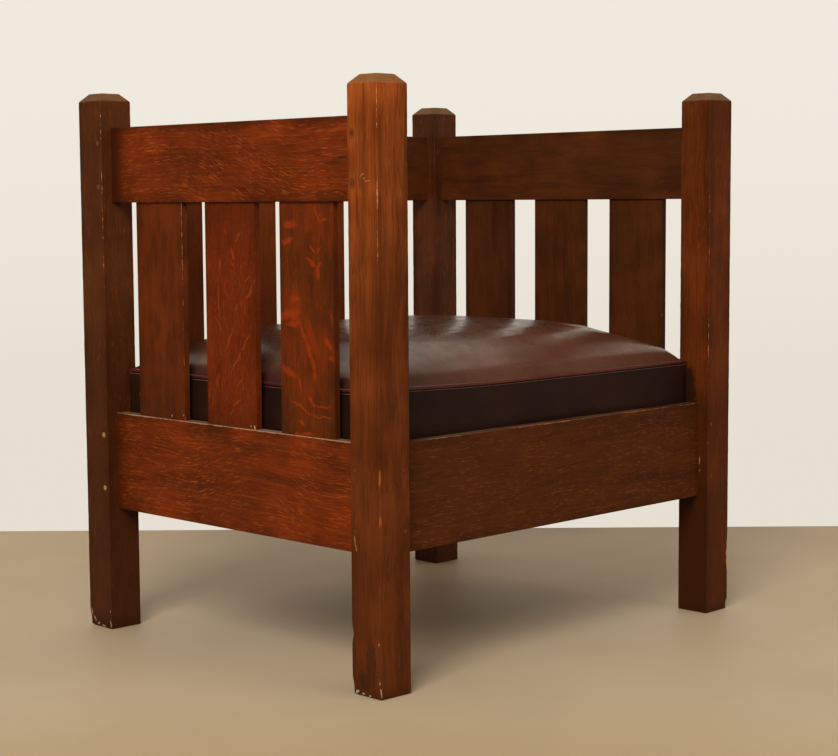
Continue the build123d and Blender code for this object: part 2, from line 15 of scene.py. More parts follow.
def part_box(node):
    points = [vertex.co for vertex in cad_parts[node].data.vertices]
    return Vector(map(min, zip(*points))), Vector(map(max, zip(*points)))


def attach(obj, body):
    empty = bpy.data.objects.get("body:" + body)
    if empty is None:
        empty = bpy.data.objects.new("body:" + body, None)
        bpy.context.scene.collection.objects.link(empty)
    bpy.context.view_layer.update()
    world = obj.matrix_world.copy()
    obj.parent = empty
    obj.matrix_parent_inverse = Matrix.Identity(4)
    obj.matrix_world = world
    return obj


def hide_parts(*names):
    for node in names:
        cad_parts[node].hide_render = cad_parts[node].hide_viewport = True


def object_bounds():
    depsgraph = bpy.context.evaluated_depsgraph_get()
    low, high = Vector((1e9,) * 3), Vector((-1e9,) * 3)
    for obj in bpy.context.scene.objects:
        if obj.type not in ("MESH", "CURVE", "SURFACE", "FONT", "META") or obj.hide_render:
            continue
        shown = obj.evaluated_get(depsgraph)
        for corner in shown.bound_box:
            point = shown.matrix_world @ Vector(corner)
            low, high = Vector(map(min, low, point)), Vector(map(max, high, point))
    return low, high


bl_info = {
    "name": "Cube chair",
    "version": (1, 0, 0),
    "blender": (4, 5, 0),
    "location": "View3D > Sidebar > Cube chair",
    "description": "Dresses an oak cube chair with a loose leather seat cushion",
    "category": "Object",
}

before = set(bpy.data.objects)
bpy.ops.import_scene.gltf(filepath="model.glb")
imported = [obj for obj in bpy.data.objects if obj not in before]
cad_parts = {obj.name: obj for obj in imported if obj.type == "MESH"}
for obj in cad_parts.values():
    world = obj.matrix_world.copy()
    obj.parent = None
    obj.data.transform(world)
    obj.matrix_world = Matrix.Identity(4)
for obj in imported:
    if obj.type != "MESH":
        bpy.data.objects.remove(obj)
CAD_BOX = [list(corner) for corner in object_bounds()]
MM = 0.001
AXES = "xyz"
TOUCH = 0.0002

# The photograph's camera, and the place that both lights look at
YAW, PITCH, ROLL = (math.radians(angle) for angle in (45.154, -5.489, -0.355))
CAMERA_PLACE = (-1.9081, -1.9126, 0.6119)
FOCAL_PIXELS, IMAGE_WIDTH, SENSOR_WIDTH = 1864.3, 838, 36
LIT_PLACE = Vector((0, 0, 0.4))

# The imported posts, pegs and cushion
POSTS = ("post_front_left", "post_front_right", "post_back_left", "post_back_right")
PEG_AXES = {"side_rail_pegs": 0, "cross_rail_pegs": 1}
POST_LOW, POST_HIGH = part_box("post_front_left")
POST_SIZE = POST_HIGH.x - POST_LOW.x
POST_INNER_X, POST_INNER_Y = abs(POST_HIGH.x), abs(POST_HIGH.y)
CHAIR_HEIGHT = POST_HIGH.z
CUSHION_LOW, CUSHION_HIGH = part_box("cushion_cover")

# The worn posts: the chamfer of the top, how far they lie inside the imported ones, and their wear
TOP_RISE = 11.2 * MM
TOP_RUN = 10.8 * MM
SHRINK = 0.06 * MM
ARRIS = 1.2 * MM
SHAFT_CUTS = 170
WORN_REACH = 1.8 * MM
NICKS = ((0.009, -0.0005), (0.04, -0.0003))
CHIP_STEPS = (1.0, 0.62)

# The seeds that give each post, slat and inner board its own grain, the thickness of flakes, the wax round a peg
# from where it ends to where it is darkest, and the spacing of the webbing's threads
POST_SEED, SLAT_SEED, INNER_SEED = 20, 40, 60
FLAKE_THICKNESS = 1.3
PEG_RIM = (0.0058, 0.0042)
WARP, WEFT = 0.0022, 0.0026


def shade(red, green, blue):
    """A colour written as it looks on a screen, turned into the light values that Blender mixes."""
    parts = [value / 255 for value in (red, green, blue)]
    return tuple(v / 12.92 if v <= 0.04045 else ((v + 0.055) / 1.055) ** 2.4 for v in parts)


def colour(label, description, default):
    """A colour that the user may change."""
    return bpy.props.FloatVectorProperty(
        name=label, description=description, default=shade(*default), subtype="COLOR", min=0, max=1
    )


def length(label, description, default):
    """A length that the user may change."""
    return bpy.props.FloatProperty(
        name=label, description=description, default=default, min=0, unit="LENGTH", precision=4
    )


def share(label, description, default):
    """A share from 0 to 1 that the user may change."""
    return bpy.props.FloatProperty(
        name=label, description=description, default=default, min=0, max=1, subtype="FACTOR"
    )


class OakFinish(bpy.types.PropertyGroup):
    """The fumed and waxed finish of the quartersawn oak."""

    dark: colour("Dark", "The darkest grain of the fumed oak", (72, 28, 9))
    ground: colour("Ground", "The usual colour of the fumed oak", (118, 50, 17))
    red: colour("Red", "Where the stain shows redder", (142, 56, 18))
    flake: colour("Flake", "The ray flakes", (188, 84, 30))
    worn: colour("Worn", "Bare wood on the rubbed edges", (196, 132, 88))
    # Dust and old wax on level faces, partly painted light falling on the tops from above
    dust: colour("Dust", "Dust and old wax on level faces", (146, 122, 98))
    gloss: share("Roughness", "How dull the wax is", 0.48)
    rub: length("Rubbed edge", "How far wear reaches from an edge", 0.0026)


class CushionFinish(bpy.types.PropertyGroup):
    """The leather cushion, its welts and stitching."""

    leather: colour("Leather", "The leather of the top", (98, 59, 40))
    # The sides' leather is darker than the top's, partly less faded and partly painted shade
    shadow: colour("Boxing", "The leather of the sides, less faded", (42, 22, 15))
    welt: colour("Welt", "The leather round the welt cord", (94, 36, 30))
    thread: colour("Thread", "The stitching beside the welt", (164, 122, 110))
    gloss: share("Roughness", "How dull the leather is", 0.28)
    welt_radius: length("Welt radius", "Half the thickness of the welt cord", 0.0024)
    swell: length("Swell", "How far the filling may push the leather out", 0.004)


class StudioLight(bpy.types.PropertyGroup):
    """The plain floor, wall and lights."""

    floor: colour("Floor", "The plain pale floor", (196, 173, 140))
    wall: colour("Wall", "The plain pale wall", (240, 233, 221))
    key: bpy.props.FloatProperty(
        name="Key light", description="Power of the soft light from the left", default=95, unit="POWER"
    )
    fill: bpy.props.FloatProperty(
        name="Fill light", description="Power of the soft light from the front", default=22, unit="POWER"
    )
    sky: share("Surround", "Strength of the even light all round", 0.36)
    wall_gap: length("Wall distance", "How far the wall stands behind the chair", 0.73)


def fit(thing, **settings):
    """Sets several settings of one thing."""
    for key, value in settings.items():
        setattr(thing, key, value)
    return thing


class Tree:
    """The nodes of one material or world, with short calls that each give back an output."""

    def __init__(self, name, world=False):
        self.owner = (bpy.data.worlds if world else bpy.data.materials).new(name)
        self.owner.use_nodes = True
        self.nodes = self.owner.node_tree.nodes
        self.links = self.owner.node_tree.links
        self.shader = self.nodes.get("Principled BSDF")

    def node(self, kind, inputs=None, out=0, **settings):
        """Adds a node. Each of its inputs is another node's output or a plain value."""
        node = fit(self.nodes.new("ShaderNode" + kind), **settings)
        for key, value in (inputs or {}).items():
            if isinstance(value, bpy.types.NodeSocket):
                self.links.new(value, node.inputs[key])
            elif value is not None:
                node.inputs[key].default_value = value
        return node.outputs[out]

    def calc(self, operation, first, second=None, third=None):
        return self.node("Math", {0: first, 1: second, 2: third}, operation=operation)

    plus = partialmethod(calc, "ADD")
    minus = partialmethod(calc, "SUBTRACT")
    times = partialmethod(calc, "MULTIPLY")
    larger = partialmethod(calc, "MAXIMUM")
    smaller = partialmethod(calc, "MINIMUM")

    def fold(self, operation, outputs):
        """Takes several outputs together, one after another."""
        return reduce(partial(self.calc, operation), outputs)

    def vector(self, operation, first, second=None, out=0):
        return self.node("VectorMath", {0: first, 1: second}, out, operation=operation)

    moved = partialmethod(vector, "ADD")
    scaled = partialmethod(vector, "MULTIPLY")

    def place(self):
        return self.node("TexCoord", out="Object")

    def split(self, vector):
        return self.node("SeparateXYZ", {0: vector}).node.outputs

    def join(self, x, y, z):
        return self.node("CombineXYZ", {0: x, 1: y, 2: z})

    def noise(self, vector, scale, detail=2.0, roughness=0.5, out=0):
        inputs = {"Vector": vector, "Scale": scale, "Detail": detail, "Roughness": roughness}
        return self.node("TexNoise", inputs, out)

    def stretched(self, vector, stretch, detail, roughness):
        """Noise that is finer along some axes than along others."""
        return self.noise(self.scaled(vector, stretch), 1.0, detail, roughness)

    def bent(self, vector, scale, sway):
        """A place pushed to and fro by noise, by at most half of the sway."""
        push = self.vector("SUBTRACT", self.noise(vector, scale, 2, out=1), (0.5, 0.5, 0.5))
        return self.moved(vector, self.scaled(push, sway))

    def remap(self, value, low, high, start=0.0, end=1.0, kind="SMOOTHSTEP"):
        """Carries low to high over to start to end, and holds still beyond them."""
        inputs = {0: value, 1: low, 2: high, 3: start, 4: end}
        return self.node("MapRange", inputs, interpolation_type=kind)

    def mix(self, factor, first, second):
        paints = [(*paint, 1) if isinstance(paint, tuple) else paint for paint in (first, second)]
        return self.node("Mix", {0: factor, 6: paints[0], 7: paints[1]}, out=2, data_type="RGBA")

    def bump(self, height, strength, distance):
        return self.node("Bump", {"Height": height, "Strength": strength, "Distance": distance})

    def finish(self, paint, roughness, normal=None, **constants):
        """Links the shader's colour, roughness and relief, sets the rest and gives back the material."""
        for key, value in (("Base Color", paint), ("Roughness", roughness), ("Normal", normal)):
            if value is not None:
                self.links.new(value, self.shader.inputs[key])
        for key, value in constants.items():
            self.shader.inputs[key.replace("_", " ")].default_value = value
        return self.owner


def peg_places(node, axis):
    """The middle of each peg end on the outside of the chair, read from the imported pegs."""
    ends = {}
    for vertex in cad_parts[node].data.vertices:
        if abs(vertex.co[axis]) > CAD_BOX[1][axis] - 0.0001:
            key = (vertex.co[axis] > 0, round(vertex.co[1 - axis] / 0.02), round(vertex.co.z / 0.02))
            ends.setdefault(key, []).append(vertex.co.copy())
    return [sum(found, Vector()) / len(found) for found in ends.values()]


USUAL_LOOK = {
    "seed": 0,
    "flow": (),
    "streak": 0.3,
    "bands": 0.55,
    "mottle": 0.22,
    "flakes": (),
    "soft": 0.9,
    "soot": 0.5,
    "ends": (),
    "scars": (),
    "wear": ((0, 0.3),),
    "rubbed": 0.8,
    "dusty": (0.1, 0.5),
    "specular": 0.08,
}


class Board(Tree):
    """The material of one oak board, painted coat by coat.

    Grain is the axis that the board runs along, face the one that its flat side faces.
    """

    def __init__(self, node, grain, face, look, oak):
        super().__init__("oak_" + node)
        usual = {part: tuple(getattr(oak, part)) for part in ("ground", "red", "dark", "flake", "worn", "dust")}
        self.look = {**usual, **USUAL_LOOK, **look}
        self.oak = oak
        self.low, self.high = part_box(node)
        self.along, self.out = AXES.index(grain), AXES.index(face)
        self.across = 3 - self.along - self.out
        self.here = self.place()
        self.parts = self.split(self.here)
        run, side, depth = (self.parts[axis] for axis in (self.along, self.across, self.out))
        seed = self.look["seed"]
        self.board = self.moved(self.join(run, side, depth), (seed * 1.7, seed * 0.9, seed * 0.6))
        flow = side
        for start, stop, rise in self.look["flow"]:
            flow = self.plus(flow, self.remap(run, start, stop, 0, rise))
        self.flowing = self.join(run, flow, depth)
        self.normals = self.split(self.node("NewGeometry", out="Normal"))
        self.facing = [self.remap(self.calc("ABSOLUTE", part), 0.35, 0.6) for part in self.normals]
        self.clouds = self.noise(self.board, 11, 2, 0.5)
        self.lines = self.bent(self.board, 7, (0, 0.02, 0.02))
        self.fine = self.stretched(self.lines, (9, 460, 460), 2, 0.6)
        self.paint = self.mix(self.remap(self.clouds, 0.36, 0.66), self.look["ground"], self.look["red"])

    def coat(self, amount, colour):
        """Lays a colour over what is painted so far."""
        self.paint = self.mix(amount, self.paint, colour)

    def edge(self, ends=None):
        """How far a point is from the nearest edge, or from the nearest long edge where ends is given."""
        half = (self.high - self.low) / 2
        if ends is not None:
            half[ends] = 1.0
        middle = tuple((self.low + self.high) / 2)
        local = self.vector("ABSOLUTE", self.vector("SUBTRACT", self.here, middle))
        inward = self.split(self.vector("SUBTRACT", tuple(half), local))
        most, least = self.larger(inward[0], inward[1]), self.smaller(inward[0], inward[1])
        return self.smaller(most, self.larger(least, inward[2]))

    def flakes(self, angle, size, amount, wave, seed):
        """Ray flakes at an angle to the grain: 1 on a flake, falling to 0 past its wavy edge."""
        moved = self.moved(self.flowing, (seed * 0.37, seed * 0.11, seed * 0.05))
        turn = {"Vector": self.bent(moved, 38, (0, wave * MM, 0)), "Angle": math.radians(angle)}
        turned = self.node("VectorRotate", turn, rotation_type="Z_AXIS")
        cells = self.scaled(turned, tuple(1 / (part * MM) for part in size))
        found = self.node("TexVoronoi", {"Vector": cells, "Scale": 1.0, "Randomness": 1.0}).node.outputs
        draws = self.split(found["Color"])
        reach = self.remap(draws[0], 0, 1, 0.22, 0.5, "LINEAR")
        shape = self.remap(self.calc("DIVIDE", found["Distance"], reach), 1.0, 0.45)
        return self.times(shape, self.calc("LESS_THAN", draws[1], amount))

    def strokes(self, across, marks, soft, wobble):
        """Single marks: each has its place along the board and across it, half sizes and angle."""
        flat = self.join(self.parts[self.along], across, 0.0)
        bent = self.bent(flat, 75, (wobble, wobble * 0.7, 0))
        spots = []
        for height, side, half_length, half_width, angle in marks:
            inputs = {
                "Vector": bent,
                "Location": (height * MM, side * MM, 0),
                "Rotation": (0, 0, math.radians(angle)),
                "Scale": (half_length * MM, half_width * MM, 1),
            }
            spot = self.node("Mapping", inputs, vector_type="TEXTURE")
            spots.append(self.vector("LENGTH", spot, out="Value"))
        ragged = self.plus(self.fold("MINIMUM", spots), self.noise(flat, 260, 2))
        return self.remap(ragged, 1.0 + soft, 1.0)

    def peg_rims(self):
        """The dark rim of old wax round each peg of a post."""
        rims = []
        for node, axis in PEG_AXES.items():
            flat = self.scaled(self.here, tuple(float(part != axis) for part in range(3)))
            gaps = []
            for spot in peg_places(node, axis):
                if all(self.low[side] - MM < spot[side] < self.high[side] + MM for side in (0, 1)):
                    spot[axis] = 0
                    gaps.append(self.vector("DISTANCE", flat, tuple(spot), out="Value"))
            if gaps:
                face = CAD_BOX[1][axis]
                outer = self.remap(self.calc("ABSOLUTE", self.parts[axis]), face - 0.006, face - 0.004)
                rim = self.times(self.remap(self.fold("MINIMUM", gaps), *PEG_RIM), self.facing[axis])
                rims.append(self.times(rim, outer))
        return self.fold("MAXIMUM", rims)

    def stain(self):
        """Broad bands, mottling and fine streaks of grain."""
        look = self.look
        broad = self.stretched(self.lines, (3.0, 38, 38), 3, 0.55)
        self.coat(self.remap(broad, 0.5, 0.28, 0, look["bands"]), look["dark"])
        mottle = self.stretched(self.flowing, (22, 70, 70), 3, 0.6)
        self.coat(self.remap(mottle, 0.45, 0.62, 0, look["mottle"]), look["dark"])
        self.coat(self.remap(self.fine, 0.52, 0.3, 0, look["streak"]), look["dark"])
        self.coat(self.remap(self.fine, 0.56, 0.75, 0, look["streak"] * 0.6), look["flake"])

    def figure(self):
        """The ray flakes, in layers and as single strokes, or None on a board without them."""
        look = self.look
        layers = []
        for number, (*shape, strength) in enumerate(look["flakes"], 1):
            layers.append(self.times(self.flakes(*shape, look["seed"] + number), strength))
        if "strokes" in look:
            layer = self.strokes(self.parts[self.across], look["strokes"], look["soft"], 0.012)
            layers.append(self.times(layer, self.remap(self.fine, 0.25, 0.6, 0.5, look["figure"])))
        if not layers:
            return None
        marks = self.fold("MAXIMUM", layers)
        if "strokes" not in look:
            marks = self.times(marks, self.remap(self.noise(self.board, 24, 2), 0.35, 0.62, 0.25, 1))
        self.coat(marks, look["flake"])
        return marks

    def grime_and_shade(self):
        """Darker along the edges and between set places along the board, and old wax round the pegs; one darkening
        on the front right post is painted shade.
        """
        look = self.look
        soot = self.remap(self.edge(), 0.016, 0.0, 0, look["soot"])
        self.coat(self.times(soot, self.remap(self.clouds, 0.7, 0.3)), look["dark"])
        # Darker between two places along the board, only on one axis's faces where one is given; on the front right
        # post this paints shade
        for start, stop, amount, *only in look["ends"]:
            darker = self.remap(self.parts[self.along], start, stop, 0, amount)
            for axis in only:
                darker = self.times(darker, self.facing[axis])
            self.coat(darker, look["dark"])
        if "rims" in look:
            self.coat(self.times(self.peg_rims(), look["rims"]), shade(38, 20, 10))

    def scars(self):
        """Scratches, stains, bare spots and patches of painted shadow: on the faces across one axis, or on one of
        the two only.
        """
        for axis, paint, amount, marks, *only in self.look["scars"]:
            sideways = self.parts[self.across if axis == self.out else self.out]
            scar_and_shadow = self.times(self.strokes(sideways, marks, 0.5, 0.005), self.facing[axis])
            for side in only:
                middle = (self.low[axis] + self.high[axis]) / 2
                there = self.times(self.minus(self.parts[axis], middle), side)
                scar_and_shadow = self.times(scar_and_shadow, self.calc("GREATER_THAN", there, 0.0))
            self.coat(self.times(scar_and_shadow, amount), paint)

    def rub(self):
        """Bare wood along the edges, as far as this board is worn. Posts alone are worn at their ends too."""
        look = self.look
        points = look["wear"]
        spread = points[0][1] - 1.05
        for (start, first), (stop, last) in zip(points, points[1:]):
            spread = self.plus(self.remap(self.parts[self.along], start, stop, 0, last - first), spread)
        if self.across == 2:
            lower = self.remap(self.parts[2], self.high.z - 0.02, self.low.z + 0.02, 0, -0.35)
            spread = self.plus(lower, spread)
        ragged = self.times(self.noise(self.board, 95, 3, 0.65), 0.75)
        patchy = self.times(self.noise(self.board, 16, 2, 0.5), 0.55)
        reach = self.times(self.plus(self.plus(ragged, patchy), spread), 1.9 * self.oak.rub)
        edge = self.edge(None if "rims" in look else self.along)
        rubbed = self.remap(self.minus(reach, edge), 0.0, 0.0006)
        if "rim" in look:
            gap = self.calc("ABSOLUTE", self.minus(self.parts[2], look["rim"]))
            on_rim = self.remap(self.minus(self.minus(reach, 0.0006), gap), 0.0, 0.0006)
            rubbed = self.larger(rubbed, self.times(on_rim, 0.5))
        bare = self.mix(self.remap(self.fine, 0.35, 0.65, 0, 0.5), look["worn"], tuple(self.oak.flake))
        self.coat(self.times(rubbed, look["rubbed"]), bare)
        return rubbed

    def settle_dust_and_top_light(self):
        """Dust and old wax on level faces, in soft patches along the grain; this lighter tone on upward faces is
        partly painted light from above.
        """
        lying = self.stretched(self.board, (11, 62, 62), 3, 0.5)
        settled = self.remap(lying, 0.25, 0.75, *self.look["dusty"])
        dusty = self.times(self.remap(self.normals[2], 0.4, 0.7), settled)
        self.coat(dusty, self.look["dust"])
        return dusty

    def wax(self, marks, rubbed, dusty):
        """The sheen and the relief of the board."""
        dull = self.remap(self.clouds, 0.3, 0.7, self.oak.gloss - 0.06, self.oak.gloss + 0.08)
        dull = self.plus(self.plus(dull, self.times(rubbed, 0.2)), self.times(dusty, 0.25))
        pores = self.stretched(self.lines, (60, 1500, 1500), 1, 0.5)
        relief = self.minus(self.times(self.fine, 0.5), self.remap(pores, 0.62, 0.72))
        if marks is not None:
            relief = self.plus(relief, self.times(marks, 0.35))
        relief = self.minus(relief, self.times(rubbed, 0.8))
        normal = self.bump(relief, 0.35, 0.00035)
        return self.finish(self.paint, dull, normal, Specular_IOR_Level=self.look["specular"])


def oak(node, grain, face, look, finish):
    """Quartersawn oak for one packed board."""
    board = Board(node, grain, face, look, finish)
    board.stain()
    marks = board.figure()
    board.grime_and_shade()
    board.scars()
    rubbed = board.rub()
    dusty = board.settle_dust_and_top_light()
    return board.wax(marks, rubbed, dusty)


def dashes(angle, amount, long=13, wide=2.0, strength=0.8, wave=5):
    """One layer of short thin flakes, which are thinner still on the edge of the board."""
    return angle, (long, wide, FLAKE_THICKNESS), amount, wave, strength


def paints(**colours):
    """A board's own colours, each written as it looks on a screen."""
    return {part: shade(*value) for part, value in colours.items()}


# How each board differs from the usual look. A stroke or a mark of a scar has its place along the board and across
# it, its half length, its half width and its angle. A scar, like a patch of painted shadow among them, has the axis
# that its face looks along, its colour and its strength before its marks, and after them the side, where it is on
# one of the two faces only. "ends" darkens the board between two heights or places along it, and "wear" says how
# far bare wood reaches at each of them.
RED_RAIL = {
    **paints(ground=(104, 39, 6), red=(124, 46, 8), dark=(62, 25, 6), flake=(176, 88, 32)),
    "soot": 0.7,
    "streak": 0.42,
}
PLAIN = paints(ground=(78, 36, 9), red=(90, 41, 10), dark=(50, 23, 6), flake=(118, 64, 28))
INNER = paints(ground=(74, 37, 13), red=(88, 42, 13), dark=(46, 22, 7), flake=(98, 52, 22))
# Painted light: the back slats are painted lighter than the other inner slats, so that their inner faces, seen
# between the left slats, look lit; their outer faces carry the same lighter paint
BACK_SLAT_PAINTED_LIGHTER = paints(ground=(106, 47, 13), red=(118, 52, 14), dark=(72, 32, 8), flake=(138, 70, 28))
INNER_TIMBER = {
    **paints(ground=(150, 112, 72), red=(164, 124, 80), dark=(104, 72, 42), flake=(186, 146, 98)),
    "wear": ((0, 0.2),),
    "specular": 0.25,
}

CREAM = shade(206, 186, 158)
BARE = shade(196, 150, 106)
# A dark colour for soot stains, and for the painted shadow of the cushion on the front right post
SOOT_AND_SHADOW = shade(40, 20, 10)
ORANGE = shade(186, 88, 34)

LOOKS = {
    "top_rail_left": {
        **RED_RAIL,
        "seed": 1,
        "flow": ((0.12, -0.17, 0.085), (0.16, 0.24, 0.006)),
        "flakes": (
            dashes(2, 0.5, long=20, wide=1.5, wave=2, strength=0.6),
            dashes(-5, 0.35, long=14, wide=1.3, wave=2, strength=0.5),
            dashes(3, 0.3, long=36, wide=1.7, wave=3, strength=0.5),
        ),
        "ends": ((0.205, 0.246, 1.0), (-0.235, -0.26, 0.5)),
        "dusty": (0.0, 0.25),
        "wear": ((0, 0.05),),
        "scars": ((0, shade(52, 26, 16), 0.6, ((-205, 657, 24, 3.0, 3), (-224, 664, 12, 2.0, -4))),),
    },
    "seat_rail_left": {
        **RED_RAIL,
        "seed": 2,
        "flow": ((0.10, -0.03, -0.03), (-0.08, -0.2, 0.02)),
        "flakes": (
            dashes(-4, 0.45, long=18, wide=1.5, wave=2, strength=0.6),
            dashes(5, 0.35, long=13, wide=1.3, wave=2.5, strength=0.5),
            dashes(0, 0.3, long=40, wide=1.7, wave=3, strength=0.5),
        ),
        "ends": ((0.215, 0.258, 0.6),),
        "wear": ((0, 0.62),),
        "worn": shade(186, 146, 108),
        "dusty": (0.3, 0.8),
    },
    "seat_rail_front": {
        **PLAIN,
        "seed": 3,
        **paints(red=(84, 38, 8), flake=(132, 78, 32)),
        "flakes": (
            dashes(2, 0.4, long=13, wide=1.2, wave=1.5, strength=0.6),
            dashes(-2, 0.3, long=20, wide=1.2, wave=2, strength=0.5),
        ),
        "wear": ((0, 0.52),),
        "worn": shade(140, 98, 64),
        "dusty": (0.0, 0.3),
    },
    "top_rail_right": {
        **INNER,
        "seed": 4,
        "flakes": (dashes(2, 0.5, wide=1.5, wave=2, strength=0.3),),
        "wear": ((0, 0.1),),
        "dusty": (0.0, 0.25),
    },
    "seat_rail_right": {**PLAIN, "seed": 5, "flakes": (dashes(4, 0.5, strength=0.5),), "wear": ((0, 0.45),)},
    "top_rail_back": {
        **INNER,
        "seed": 6,
        "flakes": (dashes(3, 0.5, strength=0.4),),
        "wear": ((0, 0.1),),
        "dusty": (0.0, 0.25),
    },
    "seat_rail_back": {**PLAIN, "seed": 7, "flakes": (dashes(3, 0.5, strength=0.5),), "wear": ((0, 0.45),)},
    "slat_left_3": {
        **PLAIN,
        "seed": 8,
        **paints(ground=(97, 41, 10), red=(107, 45, 11)),
        "streak": 0.2,
        "bands": 0.25,
        "mottle": 0.35,
        "ends": ((0.48, 0.33, 0.22),),
        "wear": ((0.31, 0.53), (0.61, 0.53)),
        "rubbed": 0.45,
        "scars": ((0, CREAM, 0.6, ((317, 130, 2.0, 1.1, 0), (319, 103, 2.0, 1.0, 0))),),
    },
    "slat_left_2": {
        "seed": 9,
        **paints(ground=(102, 36, 4), red=(112, 40, 5), dark=(70, 26, 4), flake=(156, 64, 18)),
        "figure": 0.7,
        "strokes": (
            (571, 9, 5, 1.5, 20), (564, -18, 10, 1.5, -42), (542, -6, 8, 2.8, 17), (527, -7, 3, 1.3, -1),
            (528, 21, 9, 1.5, -7), (477, 25, 20, 1.1, 2), (470, -13, 5, 1.7, -31), (428, 4, 17, 1.5, -25),
            (424, -29, 15, 1.5, -35), (398, -10, 18, 1.5, -40), (372, 27, 11, 1.3, -14), (341, 40, 9, 1.1, -7),
            (345, -11, 10, 1.1, -55), (330, 1, 6, 1.3, -37), (354, 46, 12, 1.1, -6), (447, 25, 13, 1.1, 35),
            (490, -39, 11, 1.3, -38), (510, -35, 6, 1.1, -38), (495, 9, 15, 0.9, 5), (371, -17, 10, 0.9, -45),
        ),
        "flakes": (
            dashes(12, 0.45, long=12, wide=1.4, wave=3, strength=0.46),
            dashes(-14, 0.35, long=10, wide=1.3, wave=3, strength=0.4),
            dashes(3, 0.3, long=26, wide=1.6, wave=4, strength=0.4),
        ),
        "streak": 0.4,
        "ends": ((0.50, 0.62, 0.5), (0.37, 0.30, 0.3)),
        "wear": ((0.31, 0.34), (0.61, 0.25)),
        "scars": ((0, CREAM, 0.7, ((316, -39, 1.8, 1.0, 0), (314, -47, 4.0, 1.6, 10))),),
    },
    "slat_left_1": {
        "seed": 10,
        **paints(ground=(91, 40, 8), red=(110, 42, 7), dark=(58, 27, 7), flake=(156, 52, 7)),
        "figure": 0.68,
        "soft": 1.0,
        "streak": 0.34,
        "mottle": 0.4,
        "flakes": (
            dashes(20, 0.5, long=14, wide=4, wave=5, strength=0.16),
            dashes(-25, 0.4, long=10, wide=3, wave=5, strength=0.13),
        ),
        "strokes": (
            (581, -122, 12, 4.6, -85), (560, -114, 10, 3.4, -84), (592, -173, 10, 1.6, 33), (586, -185, 7, 1.6, -66),
            (550, -164, 8, 1.4, 57), (548, -175, 5, 1.2, -57), (533, -161, 11, 2.3, 59), (531, -176, 7, 1.8, -52),
            (520, -173, 9, 2.5, 14), (486, -128, 9, 3.1, -85), (466, -120, 17, 6.2, -84), (455, -127, 14, 3.1, -79),
            (443, -144, 13, 2.7, 31), (422, -155, 13, 3.5, 28), (404, -163, 10, 2.9, 22), (393, -115, 17, 4.6, 68),
            (377, -139, 8, 2.3, 15), (388, -165, 7, 2.7, 11), (357, -159, 11, 1.7, 51), (351, -180, 14, 1.2, -86),
            (348, -138, 20, 1.5, 65), (339, -176, 20, 1.0, -90), (431, -192, 9, 3.5, 37), (413, -197, 5, 2.7, 68),
            (328, -141, 5, 2.1, 82), (312, -140, 22, 2.7, -83), (466, -198, 10, 1.2, 5),
        ),
        "wear": ((0.31, 0.3), (0.61, 0.28)),
        "scars": (
            (0, shade(146, 48, 8), 0.35, ((474, -130, 34, 17, 0), (440, -160, 40, 9, 25))),
        ),
    },
}

